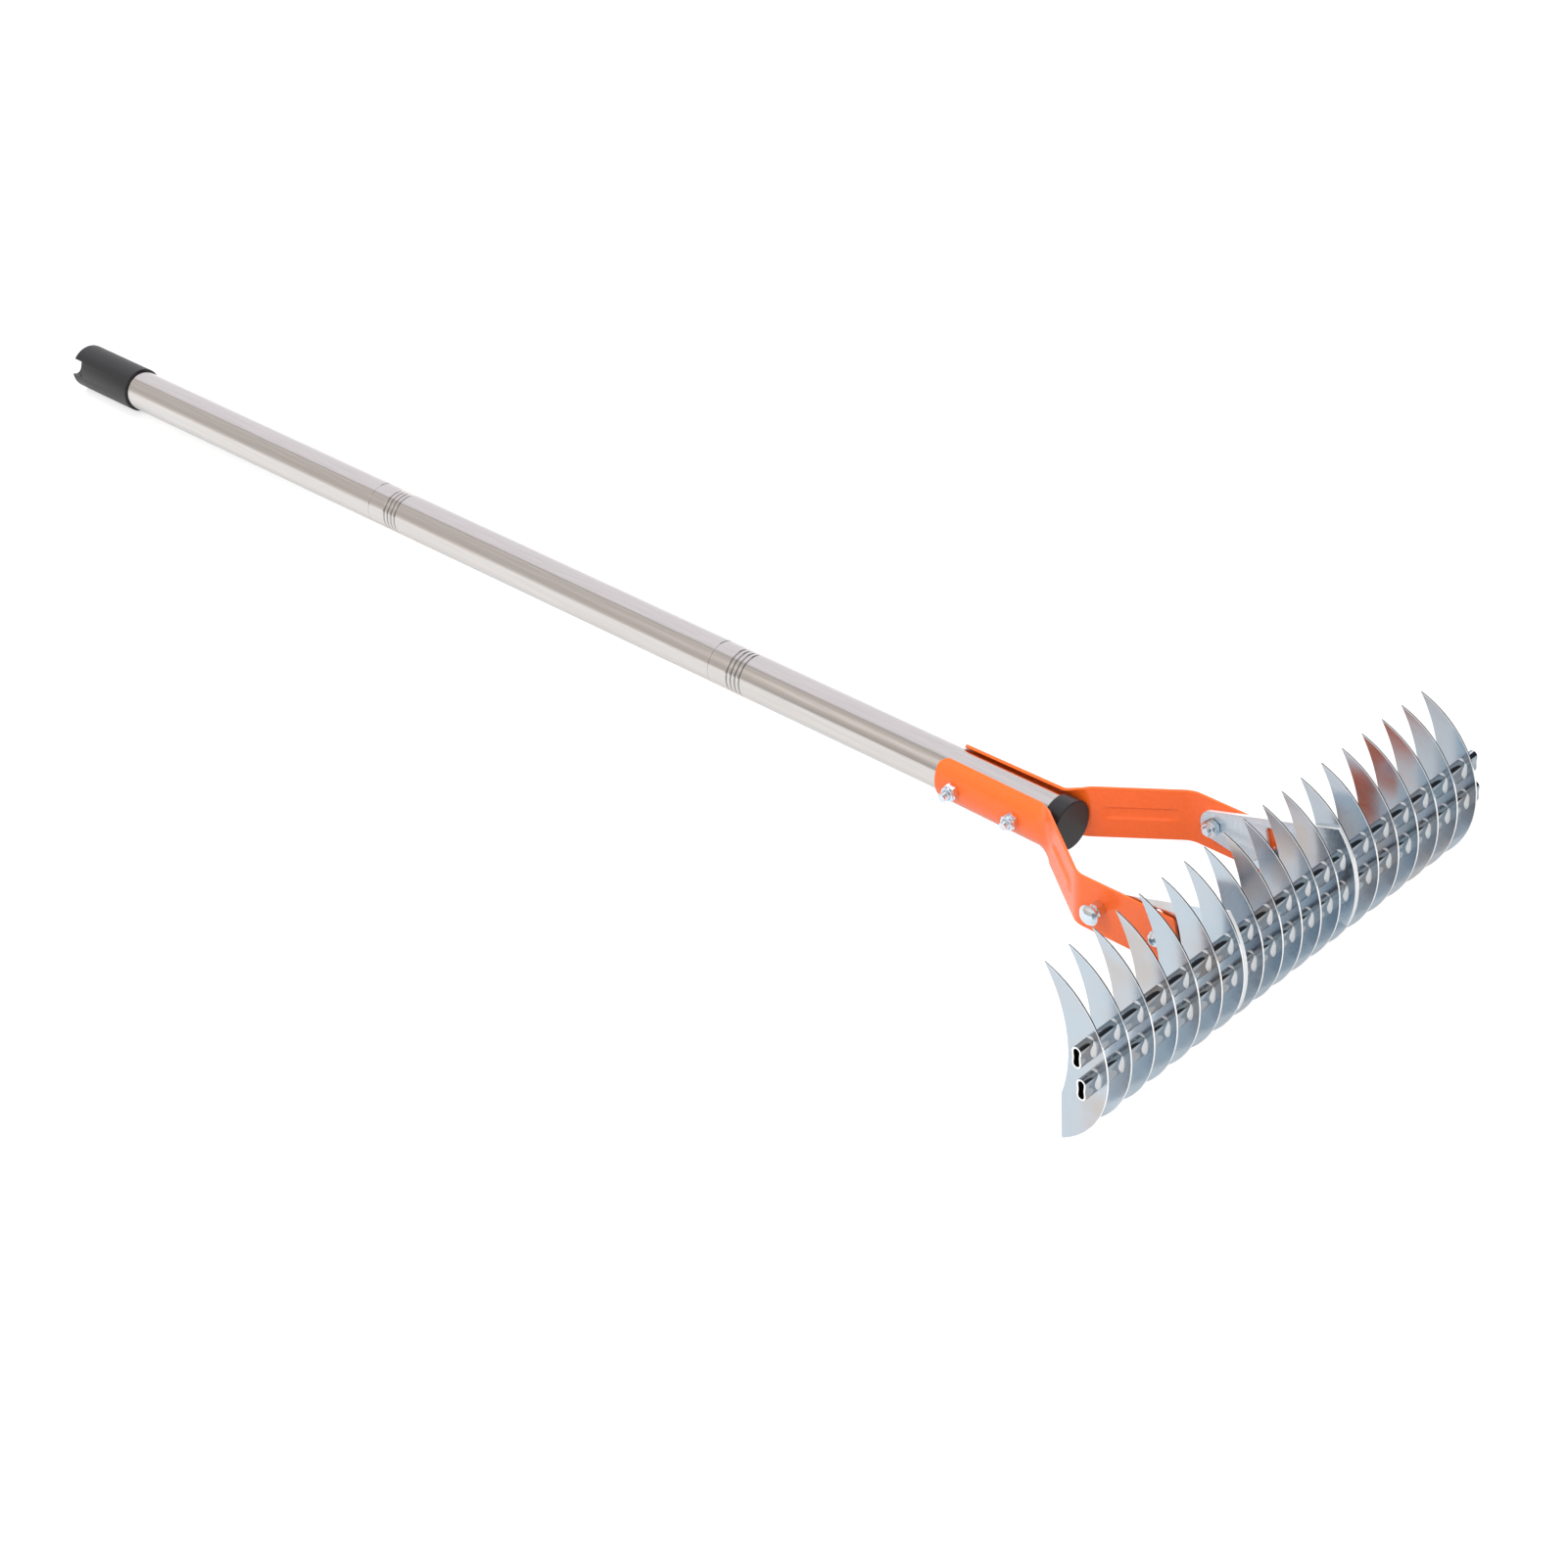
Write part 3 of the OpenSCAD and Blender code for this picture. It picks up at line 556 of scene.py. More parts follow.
def calc(tree, operation, a, b=0.0, c=0.0):
    """One step of arithmetic in a tree."""
    return put(tree, "ShaderNodeMath", {0: a, 1: b, 2: c}, operation=operation).outputs[0]


def colour_ramp(tree, value, stops):
    """A ramp through stops of (position, colour)."""
    ramp = put(tree, "ShaderNodeValToRGB", {"Fac": value})
    elements = ramp.color_ramp.elements
    elements[0].position, elements[1].position = stops[0][0], stops[-1][0]
    for position, colour in stops[1:-1]:
        elements.new(position)
    for element, (position, colour) in zip(elements, stops):
        element.color = (*colour, 1)
    return ramp.outputs[0]


# Zinc plating: bluish grey with soft warm and violet patches, and a few dark specks.
TINTS = ((0.34, (0.53, 0.62, 0.69)), (0.47, (0.55, 0.63, 0.70)), (0.57, (0.57, 0.61, 0.66)),
         (0.66, (0.57, 0.55, 0.54)), (0.78, (0.53, 0.52, 0.54)))
SPECK = (0.22, 0.21, 0.22, 1)
SPECK_RARITY = 0.86
SPECK_INNER, SPECK_OUTER = 0.06, 0.1
# Bare steel where the plating is cut, painted near white and little metallic, which also serves as a painted
# highlight.
BARE_STEEL_AND_HIGHLIGHT = (0.95, 0.95, 0.95, 1)
BARE_AND_HIGHLIGHT_ROUGH = 0.45
BARE_AND_HIGHLIGHT_METAL = 0.3
FLAT_FACE = 0.9

plating, given, result = new_group(
    "zinc_plating", "ShaderNodeTree",
    {"Patch": "Vector", "Speck Scale": "Float", "Bright": "Float"}, {"Colour": "Color"})
place = put(plating, "ShaderNodeTexCoord").outputs["Object"]
drawn = put(plating, "ShaderNodeVectorMath", {0: place, 1: given.outputs["Patch"]},
            operation="MULTIPLY")
patch = put(plating, "ShaderNodeTexNoise",
            {"Vector": drawn.outputs[0], "Scale": 1.0, "Detail": 3.0})
tints = colour_ramp(plating, patch.outputs[0], TINTS)
cells = put(plating, "ShaderNodeTexVoronoi",
            {"Vector": place, "Scale": given.outputs["Speck Scale"]})
speck = put(plating, "ShaderNodeMapRange", {
    "Value": cells.outputs["Distance"], "From Min": SPECK_INNER, "From Max": SPECK_OUTER,
    "To Min": 1.0, "To Max": 0.0})
chance = put(plating, "ShaderNodeSeparateColor", {0: cells.outputs["Color"]})
rare = calc(plating, "GREATER_THAN", chance.outputs[0], SPECK_RARITY)
spotted = blend(plating, calc(plating, "MULTIPLY", speck.outputs[0], rare), tints, SPECK)
level = blend(plating, 1.0, spotted, given.outputs["Bright"], blend_type="MULTIPLY")
plating.links.new(level, result.inputs["Colour"])


def zinc_material(name, patch, speck_scale, bright, stretch, smooth, rough, depth, bare_and_highlit_faces=False):
    """Plated steel with the shared grain; marked faces are painted near white, as bare steel and painted
    highlight.
    """
    material, tree, shader = new_material(name, Metallic=1.0)
    made = add_grain(tree, shader, stretch, (1, 1, 1), (1, 1, 1), smooth, rough, depth)
    plate = put(tree, "ShaderNodeGroup", {
        "Patch": patch, "Speck Scale": speck_scale, "Bright": bright}, node_tree=plating)
    if not bare_and_highlit_faces:
        tree.links.new(plate.outputs["Colour"], shader.inputs["Base Color"])
        return material
    bare_and_highlight = put(tree, "ShaderNodeAttribute", attribute_name="bare_and_highlight").outputs["Fac"]
    colour = blend(tree, bare_and_highlight, plate.outputs["Colour"], BARE_STEEL_AND_HIGHLIGHT)
    gloss = put(tree, "ShaderNodeMix", {0: bare_and_highlight, 2: made.outputs["Roughness"], 3: BARE_AND_HIGHLIGHT_ROUGH})
    metal = put(tree, "ShaderNodeMapRange", {"Value": bare_and_highlight, "To Min": 1.0, "To Max": BARE_AND_HIGHLIGHT_METAL})
    for socket, value in (("Base Color", colour), ("Roughness", gloss.outputs[0]),
                          ("Metallic", metal.outputs[0])):
        tree.links.new(value, shader.inputs[socket])
    return material


def mark_bare_and_highlight(piece, share):
    """Marks each face's bare steel and painted highlight, from its normal and its middle in the handle's own
    frame.
    """
    marks = piece.data.attributes.new("bare_and_highlight", "FLOAT", "FACE")
    for face in piece.data.polygons:
        marks.data[face.index].value = share(face.normal, to_handle @ face.center)


bright_zinc = zinc_material("bright_zinc", patch=(90, 90, 90), speck_scale=500.0, bright=1.35,
                            stretch=(1500, 1500, 1500), smooth=0.16, rough=0.26, depth=0.002)

# One pattern fastener is set on each seat, turned to the seat's aim, and given a turn of its own.
seating, given, result = new_group(
    "fasteners_on_seats", "GeometryNodeTree",
    {"Seats": "Geometry", "Fastener": "Object", "Finish": "Material", "Seed": "Int"},
    {"Fasteners": "Geometry"})
pattern = put(seating, "GeometryNodeObjectInfo", {"Object": given.outputs["Fastener"]})
aim = put(seating, "GeometryNodeInputNamedAttribute", {"Name": "aim"}, data_type="FLOAT_VECTOR")
facing = put(seating, "FunctionNodeAlignRotationToVector", {"Vector": aim.outputs[0]}, axis="Z")
spin = put(seating, "FunctionNodeRandomValue", {2: 0.0, 3: math.tau, "Seed": given.outputs["Seed"]},
           data_type="FLOAT")
own = put(seating, "FunctionNodeAxisAngleToRotation", {"Axis": (0, 0, 1), "Angle": spin.outputs[1]})
turned_on = put(seating, "FunctionNodeRotateRotation",
                {"Rotation": facing.outputs[0], "Rotate By": own.outputs[0]},
                rotation_space="LOCAL")
set_on = put(seating, "GeometryNodeInstanceOnPoints",
             {"Points": given.outputs["Seats"], "Instance": pattern.outputs["Geometry"],
              "Rotation": turned_on.outputs[0]})
real = put(seating, "GeometryNodeRealizeInstances", {"Geometry": set_on.outputs[0]})
plated = put(seating, "GeometryNodeSetMaterial", {"Geometry": real.outputs[0],
                                                 "Material": given.outputs["Finish"]})
seating.links.new(plated.outputs[0], result.inputs["Fasteners"])


def make(piece, tree, values):
    """Runs a Geometry Nodes tree on a piece with named inputs, and keeps a plain mesh."""
    modifier = piece.modifiers.new(tree.name, "NODES")
    modifier.node_group = tree
    for item in tree.interface.items_tree:
        if item.in_out == "INPUT" and item.name in values:
            modifier[item.identifier] = values[item.name]
    settle(piece, sharp=28)


def seat(name, fastener, seats, seed, *nodes):
    """Sets copies of a fastener on seats, each a place in mm and the way it points."""
    piece = mesh_piece(name, [place for place, way in seats], [])
    aims = piece.data.attributes.new("aim", "FLOAT_VECTOR", "POINT")
    for i, (place, way) in enumerate(seats):
        aims.data[i].vector = (way, 0, 0)
    make(piece, seating, {"Fastener": fastener, "Finish": bright_zinc, "Seed": seed})
    bpy.data.objects.remove(fastener)
    fit(piece, None, "handle", "fastener", *nodes)


nut = spun("nut", hexagon(NUT_HALF, 0, NUT_HEX_H) + [(NUT_RING_R, NUT_HEX_H)] + [
    (NUT_RING_R - inset, NUT_HEX_H + share * NUT_RING_H) for inset, share in NUT_RING_ROUND] + [
    (BOLT_R + gap, NUT_HEX_H + share * NUT_RING_H) for gap, share in NUT_MOUTH] + [
    (BOLT_R - NUT_BITE, NUT_FACE)])
clamp_nuts = ("rear_clamp_nut", "front_clamp_nut")
fork_nuts = ("right_pivot_nut", "right_stop_nut", "left_pivot_nut", "left_stop_nut")
nut_seats = []
for node in clamp_nuts:
    low, high = span(node)
    nut_seats.append(((low.x, (low.y + high.y) / 2, 0), 1))
for node in fork_nuts:
    low, high = span(node)
    way = -1 if low.x > 0 else 1
    nut_seats.append(((high.x if low.x > 0 else low.x, (low.y + high.y) / 2, pivot.z), way))
seat("nuts", nut, nut_seats, NUT_SEED, *clamp_nuts, *fork_nuts)

clamp_seats, clamp_len = [], 0
for node in ("rear_clamp_bolt", "front_clamp_bolt"):
    low, high = span(node)
    clamp_seats.append(((low.x + HEX_HEAD_H, (low.y + high.y) / 2, 0), -1))
    clamp_len = max(clamp_len, high.x - low.x - HEX_HEAD_H)
hex_bolt = spun("hex_bolt", list(reversed(hexagon(NUT_HALF, 0, HEX_HEAD_H))) + [(BOLT_R, 0)]
                + threads(-clamp_len * CLAMP_PLAIN, -clamp_len))
seat("clamp_bolts", hex_bolt, clamp_seats, CLAMP_SEED, "rear_clamp_bolt", "front_clamp_bolt")

low, high = span("right_pivot_bolt")
pivot_base = high.x - DOME_H - NECK_LEN
dome_bolt = spun("dome_bolt", dome(DOME_R, DOME_H, NECK_LEN) + [
    (DOME_R - DOME_RIM_IN, NECK_LEN - DOME_RIM), (STEM_R, NECK_LEN - DOME_RIM), (STEM_R, COLLAR_H)]
    + list(reversed(hexagon(COLLAR_HALF, 0, COLLAR_H))) + [(BOLT_R, 0)]
    + threads(low.x - pivot_base + PIVOT_THREADS * THREAD_PITCH, low.x - pivot_base))
pivot_seats = [((way * pivot_base, pivot.y, pivot.z), way) for way in (1, -1)]
seat("pivot_bolts", dome_bolt, pivot_seats, PIVOT_SEED, "right_pivot_bolt", "left_pivot_bolt")

low, high = span("right_stop_bolt")
stop_base, stop_y = high.x - BUTTON_H, (low.y + high.y) / 2
socket = [(0, BUTTON_H - KEY_DEPTH), (KEY_HALF, BUTTON_H - KEY_DEPTH, HEX),
          (KEY_HALF, BUTTON_H - KEY_CHAMFER, HEX),
          (KEY_HALF + KEY_CHAMFER, BUTTON_H - KEY_LIP, HEX)]
crown = [(r, z) for r, z in dome(BUTTON_R, BUTTON_H, 0) if r > CROWN_START]
button_bolt = spun("button_bolt", socket + crown + [
    (BUTTON_R - BUTTON_RIM, -BUTTON_RIM), (BOLT_R, -BUTTON_RIM)]
    + threads(-BUTTON_PLAIN, low.x - stop_base))
stop_seats = [((way * stop_base, stop_y, pivot.z), way) for way in (1, -1)]
seat("stop_bolts", button_bolt, stop_seats, STOP_SEED, "right_stop_bolt", "left_stop_bolt")


# Lugs. Two plates of zinc plated steel, blanked to a wedge, which hang on the pivot bolts and carry
# the crossbars. A curved slot round the pivot lets the stop bolt travel as the head tilts.

LUG_T = 2.5
LUG_ROUND = 10.0
LUG_HALF_ANGLE = 13.4
LUG_AIM = 3.2
SLOT_HALF = 3.2
PIVOT_HOLE_R = 3.08
HOLE_SIDES = 30
LUG_EDGE = 0.25
LUG_EDGE_BARE_AND_HIGHLIGHT = 0.8
FRONT_R = 64.5
FRONT_DROP = 0.6

front = Vector((span("blade_10")[1].y - FRONT_R, -FRONT_DROP))
stop_r = stop_y - pivot.y


def arc(centre, r, first, last, steps=32):
    """Points along an arc, in degrees."""
    turns = [math.radians(mix(first, last, i / steps)) for i in range(steps + 1)]
    return [centre + r * Vector((math.cos(t), math.sin(t))) for t in turns]


hub = Vector((pivot.y, pivot.z))
edge_ends = []
for way in (-1, 1):
    aim_turn = math.radians(LUG_AIM + way * LUG_HALF_ANGLE)
    run = Vector((math.cos(aim_turn), math.sin(aim_turn)))
    start = hub + way * LUG_ROUND * Vector((-run.y, run.x))
    back = run.dot(start - front)
    reach = -back + math.sqrt(back * back + FRONT_R ** 2 - (start - front).length_squared)
    corner = start + reach * run - front
    edge_ends.append(math.degrees(math.atan2(corner.y, corner.x)))
lug_outline = (arc(front, FRONT_R, *edge_ends)
               + arc(hub, LUG_ROUND, LUG_AIM + 90 + LUG_HALF_ANGLE, LUG_AIM + 270 - LUG_HALF_ANGLE))
travel = joint["range_deg"][1]
slot_ends = arc(hub, stop_r, 0, travel, 1)
lug_slot = (arc(hub, stop_r + SLOT_HALF, 0, travel)
            + arc(slot_ends[1], SLOT_HALF, travel, travel + 180)
            + arc(hub, stop_r - SLOT_HALF, travel, 0) + arc(slot_ends[0], SLOT_HALF, 180, 360))
lug_zinc = zinc_material("lug_zinc", patch=(30, 30, 30), speck_scale=320.0, bright=1.12,
                         stretch=(60, 300, 60), smooth=0.24, rough=0.32, depth=0.0003,
                         bare_and_highlit_faces=True)


def blanked(name, x, thickness, edge, loops):
    """A flat plate from closed loops, the first its outline and the rest holes, across the rake."""
    sketch = bpy.data.curves.new(name, "CURVE")
    sketch.dimensions = "2D"
    sketch.fill_mode = "BOTH"
    sketch.extrude = thickness / 2 - edge
    sketch.bevel_depth = edge
    sketch.bevel_resolution = 2
    sketch.offset = -edge
    for loop in loops:
        spline = sketch.splines.new("POLY")
        spline.points.add(len(loop) - 1)
        spline.use_cyclic_u = True
        for point, (y, z) in zip(spline.points, loop):
            point.co = (y, z, 0, 1)
    drawing = bpy.data.objects.new(name + "_sketch", sketch)
    bpy.context.scene.collection.objects.link(drawing)
    bpy.context.view_layer.update()
    flat = bpy.data.meshes.new_from_object(
        drawing.evaluated_get(bpy.context.evaluated_depsgraph_get()))
    points = [(x + v.co.z, v.co.x, v.co.y) for v in flat.vertices]
    piece = mesh_piece(name, points, [tuple(f.vertices) for f in flat.polygons])
    bpy.data.objects.remove(drawing)
    return piece


for node in ("right_lug", "left_lug"):
    low, high = span(node)
    hole = arc(hub, PIVOT_HOLE_R, 0, 360 - 360 / HOLE_SIDES, HOLE_SIDES - 1)
    lug = blanked(node + "_blank", (low.x + high.x) / 2, LUG_T, LUG_EDGE,
                  [lug_outline, lug_slot, hole])
    # The blanked edges are painted near white, as bare steel and painted highlight.
    mark_bare_and_highlight(lug, lambda normal, middle: LUG_EDGE_BARE_AND_HIGHLIGHT if abs(normal.x) < FLAT_FACE else 0.0)
    fit(lug, lug_zinc, "head", "lug", node)


# Crossbars. Two lengths of zinc plated tube, flattened a little hollow, pushed through every blade
# and pinched beside each one, so that small raised ramps against its faces hold the blade in place.

BAR_WALL = 1.2
BAR_RIM = 0.15
BAR_BEAD = 1.2
BAR_HOLLOW = 0.35
BORE_LEAD = 1.0
RAMP_LEN = 3.3
RAMP_RISE = 1.5
RAMP_HALF = 6.8
RAMP_SINK = 0.6
RAMP_POINT = 1.3
RAMP_SPREAD = 0.98
RAMP_SLICES = 8
RAMP_HIGHLIGHT = 0.55
TOP_RAMP = 0.4
OVAL_STEPS = 16
FLANK_STEPS = 10
SIDE_BLADES = 9
LUG_BLADE = 3
INNER_PITCH = 18.0
OUTER_PITCH = 20.0
BLADE_T = 1.2


def flank(z, w, h):
    """Half width of the bar's section at a height above its middle, its flanks a little hollow."""
    flat = (h - w) / 2
    if abs(z) > flat:
        return math.sqrt(max(0, w * w / 4 - (abs(z) - flat) ** 2))
    return w / 2 - BAR_HOLLOW * (0.5 + 0.5 * math.cos(math.pi * z / flat))


def oval(x, centre, w, h):
    """Section of the bar: over its round top, down a flank, round its foot, up the other flank."""
    ring = []
    for way in (1, -1):
        for i in range(OVAL_STEPS + 1):
            turn = math.pi * i / OVAL_STEPS
            ring.append((x, centre.x + way * w / 2 * math.cos(turn),
                         centre.y + way * ((h - w) / 2 + w / 2 * math.sin(turn))))
        for i in range(1, FLANK_STEPS):
            z = way * (1 - 2 * i / FLANK_STEPS) * (h - w) / 2
            ring.append((x, centre.x - way * flank(z, w, h), centre.y + z))
    return ring


# Places along the row: a closer pitch between the lugs and a wider one outside them. On the side of
# a blade where a lug lies against it, the place steps over the lug.
row, given, result = new_group(
    "blade_places", "GeometryNodeTree",
    {"Side Blades": "Int", "Lug Blade": "Int", "Inner Pitch": "Float", "Outer Pitch": "Float",
     "Side": "Float", "Lug Thickness": "Float"},
    {"Places": "Geometry"})
count = calc(row, "MULTIPLY_ADD", given.outputs["Side Blades"], 2.0, 1.0)
line = put(row, "GeometryNodeMeshLine", {"Count": count, "Offset": (0, 0, 0)})
index = put(row, "GeometryNodeInputIndex").outputs[0]
from_middle = calc(row, "SUBTRACT", index, given.outputs["Side Blades"])
steps = calc(row, "ABSOLUTE", from_middle)
inner = calc(row, "MINIMUM", steps, given.outputs["Lug Blade"])
outer = calc(row, "SUBTRACT", steps, inner)
reach = calc(row, "MULTIPLY_ADD", inner, given.outputs["Inner Pitch"],
             calc(row, "MULTIPLY", outer, given.outputs["Outer Pitch"]))
inward = calc(row, "MULTIPLY", given.outputs["Side"], -1.0)
lug_place = calc(row, "MULTIPLY", given.outputs["Lug Blade"], inward)
at_lug = calc(row, "COMPARE", from_middle, lug_place, 0.5)
past_lug = calc(row, "MULTIPLY", given.outputs["Side"], given.outputs["Lug Thickness"])
over_lug = calc(row, "MULTIPLY", at_lug, past_lug)
across = put(row, "ShaderNodeCombineXYZ", {
    "X": calc(row, "MULTIPLY_ADD", reach, calc(row, "SIGN", from_middle), over_lug)})
spaced = put(row, "GeometryNodeSetPosition",
             {"Geometry": line.outputs[0], "Position": across.outputs[0]})
row.links.new(spaced.outputs[0], result.inputs["Places"])
row_sizes = {"Side Blades": SIDE_BLADES, "Lug Blade": LUG_BLADE, "Inner Pitch": INNER_PITCH * MM,
             "Outer Pitch": OUTER_PITCH * MM, "Side": 0.0, "Lug Thickness": LUG_T * MM}

# A pattern in the row: one copy at every place.
repeat, given, result = new_group(
    "along_the_row", "GeometryNodeTree",
    {"Empty": "Geometry", "Pattern": "Object", "Finish": "Material", "Side Blades": "Int",
     "Lug Blade": "Int", "Inner Pitch": "Float", "Outer Pitch": "Float", "Side": "Float",
     "Lug Thickness": "Float"},
    {"Row": "Geometry"})
places = put(repeat, "GeometryNodeGroup", {k: given.outputs[k] for k in row_sizes}, node_tree=row)
pattern = put(repeat, "GeometryNodeObjectInfo", {"Object": given.outputs["Pattern"]})
copies = put(repeat, "GeometryNodeInstanceOnPoints", {"Points": places.outputs[0],
                                                      "Instance": pattern.outputs["Geometry"]})
real = put(repeat, "GeometryNodeRealizeInstances", {"Geometry": copies.outputs[0]})
coated = put(repeat, "GeometryNodeSetMaterial", {"Geometry": real.outputs[0],
                                                 "Material": given.outputs["Finish"]})
repeat.links.new(coated.outputs[0], result.inputs["Row"])

# The crossbars' plating is painted darker than the blades', as painted shade between the blades.
bar_zinc_painted_shade = zinc_material("bar_zinc_painted_shade", patch=(40, 60, 60), speck_scale=420.0, bright=0.64,
                         stretch=(40, 1200, 1200), smooth=0.1, rough=0.15, depth=0.0004,
                         bare_and_highlit_faces=True)
bars = []
for node in ("upper_crossbar", "lower_crossbar"):
    low, high = span(node)
    centre = Vector(((low.y + high.y) / 2, (low.z + high.z) / 2))
    w, h = high.y - low.y - 2 * BAR_BEAD, high.z - low.z - 2 * BAR_BEAD
    rings = [oval(x, centre, w - cut, h - cut) for x, cut in (
        (low.x, 2 * BAR_RIM), (low.x + BAR_RIM, 0), (0, 0),
        (high.x - BAR_RIM, 0), (high.x, 2 * BAR_RIM))]
    bore = 2 * BAR_WALL
    rings += [oval(x, centre, w - bore, h - bore)
              for x in (high.x, high.x - BORE_LEAD, 0, low.x + BORE_LEAD, low.x)]
    bar = loft(node + "_tube", rings, closed=True)
    # The cut ends of the bar are painted near white, as bare steel and painted highlight.
    mark_bare_and_highlight(bar, lambda normal, middle: float(abs(normal.x) > FLAT_FACE))
    fit(bar, bar_zinc_painted_shade, "head", "crossbar", node)
    bars.append((centre, w, h))


def add_ramp(points, faces, side, centre, out, surface, size):
    """Adds a leaf-shaped ramp on one side of a bar, which rises from its surface to a blade."""
    first, up = len(points), Vector((-out.y, out.x))
    for j in range(RAMP_SLICES + 1):
        share = RAMP_SPREAD * (2 * j / RAMP_SLICES - 1)
        across = share * RAMP_HALF * size
        swell = size * (1 - share * share) ** RAMP_POINT
        for run, lift in ((0, -RAMP_SINK), (0, RAMP_RISE * swell), (1, 0), (1, -RAMP_SINK)):
            spot = centre + out * (surface(across) + lift) + up * across
            points.append((side * (BLADE_T / 2 + run * RAMP_LEN * swell), spot.x, spot.y))
    for j in range(RAMP_SLICES):
        here = first + 4 * j
        faces += [(here + i, here + (i + 1) % 4, here + 4 + (i + 1) % 4, here + 4 + i)
                  for i in range(4)]
    last = first + 4 * RAMP_SLICES
    faces += [tuple(range(first, first + 4)), tuple(range(last, last + 4))]


for name, side in (("right", 1.0), ("left", -1.0)):
    points, faces = [], []
    for centre, w, h in bars:
        for way in (1, -1):
            add_ramp(points, faces, side, centre, Vector((way, 0)), lambda z: flank(z, w, h), 1.0)
            add_ramp(points, faces, side, centre, Vector((0, way)),
                     lambda y: (h - w) / 2 + math.sqrt(w * w / 4 - y * y), TOP_RAMP)
    ramp = mesh_piece("ramp", points, faces)
    # Each ramp is painted lighter all over, as a painted highlight.
    mark_bare_and_highlight(ramp, lambda normal, middle: RAMP_HIGHLIGHT)
    ramps = mesh_piece(f"crossbar_ramps_{name}", [], [])
    make(ramps, repeat, {"Pattern": ramp, "Finish": bar_zinc_painted_shade, **row_sizes, "Side": side})
    bpy.data.objects.remove(ramp)
    fit(ramps, None, "head", "crossbar")


# Blades. Nineteen crescents blanked from zinc plated sheet steel, hollow behind and round in front,
# with the lower front edge ground thin on both faces. The crossbars run through them.

HOLLOW_R = 99.0
NECK_W = 28.0
HOLLOW_RISE = 7.4
HEEL_W = 33.0
GRIND_W = 5.0
GRIND_EDGE = 0.6
GRIND_START = -22.0
GRIND_EASE = 5.0
UPPER_EDGE = 0.2
LOWER_EDGE = 0.34
EDGE_IN = 0.3
# The front edge is painted near white, as bare steel and painted highlight, from this angle down.
BARE_AND_HIGHLIGHT_BELOW = 20.0
BARE_AND_HIGHLIGHT_EASE = 8.0
UPPER_BARE_AND_HIGHLIGHT = 0.6
BLADE_STEPS = 150
BLADE_SHARP = 12
HEEL_START = 0.002
TIP_STEP = 0.02
EDGE_SHARE = 0.3
GRIND_SHARE = 0.6
THIN_EDGE = 0.1
CUT_CORNER = 0.2

hollow = front + Vector((FRONT_R - NECK_W - HOLLOW_R, HOLLOW_RISE))
heel_run = FRONT_R - HEEL_W


def back_reach(turn):
    """Distance from the front edge's centre to the hollow back or the heel, the further one."""
    ray = Vector((math.cos(turn), math.sin(turn)))
    offset = front - hollow
    lean = ray.dot(offset)
    back = -lean + math.sqrt(lean * lean - offset.length_squared + HOLLOW_R ** 2)
    return min(FRONT_R, max(back, heel_run / ray.x) if turn < 0 else back)


heel_turn = -math.acos(heel_run / FRONT_R)
tip_turn = math.radians(90)
while back_reach(tip_turn) >= FRONT_R:
    tip_turn -= math.radians(TIP_STEP)
blade_rings = []
for i in range(BLADE_STEPS + 1):
    share = i / BLADE_STEPS
    turn = mix(heel_turn + HEEL_START, tip_turn, share)
    back = back_reach(turn)
    wide = FRONT_R - back
    edge = min(EDGE_IN, EDGE_SHARE * wide)
    ground = smooth((GRIND_START + GRIND_EASE - math.degrees(turn)) / GRIND_EASE)
    grind = min(GRIND_W, GRIND_SHARE * wide)
    half = BLADE_T / 2
    low_share = smooth((BARE_AND_HIGHLIGHT_BELOW - math.degrees(turn)) / BARE_AND_HIGHLIGHT_EASE)
    side_cut = mix(UPPER_EDGE, LOWER_EDGE, low_share)
    lip = mix(half, GRIND_EDGE / 2, ground)
    walk = [(back, half - side_cut), (back + edge, half), (FRONT_R - grind, half),
            (FRONT_R - edge, lip), (FRONT_R, max(THIN_EDGE, lip - side_cut))]
    walk += [(r, -x) for r, x in reversed(walk)]
    blade_rings.append([(x, front.x + r * math.cos(turn), front.y + r * math.sin(turn))
                        for r, x in walk])
blade = loft("blade", blade_rings, sharp=BLADE_SHARP)
bare_and_highlight_top = front.y + FRONT_R * math.sin(math.radians(BARE_AND_HIGHLIGHT_BELOW))


def blade_bare_and_highlight(normal, middle):
    """Painted near white, as bare steel and painted highlight, right across the edge from the crossbars down, and
    partly on the cut corners above.
    """
    if abs(normal.x) > FLAT_FACE:
        return 0.0
    return 1.0 if middle.z < bare_and_highlight_top else UPPER_BARE_AND_HIGHLIGHT if abs(normal.x) > CUT_CORNER else 0.0


mark_bare_and_highlight(blade, blade_bare_and_highlight)
blade_zinc = zinc_material("blade_zinc", patch=(40, 16, 16), speck_scale=260.0, bright=1.0,
                           stretch=(60, 90, 1100), smooth=0.18, rough=0.25, depth=0.0008,
                           bare_and_highlit_faces=True)
blades = mesh_piece("blades", [], [])
make(blades, repeat, {"Pattern": blade, "Finish": blade_zinc, **row_sizes})
blades.data.set_sharp_from_angle(angle=math.radians(BLADE_SHARP))
bpy.data.objects.remove(blade)
fit(blades, None, "head", "blade", *[f"blade_{i:02d}" for i in range(1, 2 * SIDE_BLADES + 2)])


# Studio. A white floor that keeps the rake's faint shadow, three soft lamps, and a white room whose
# darker sides show in the metal as they do in the photo.

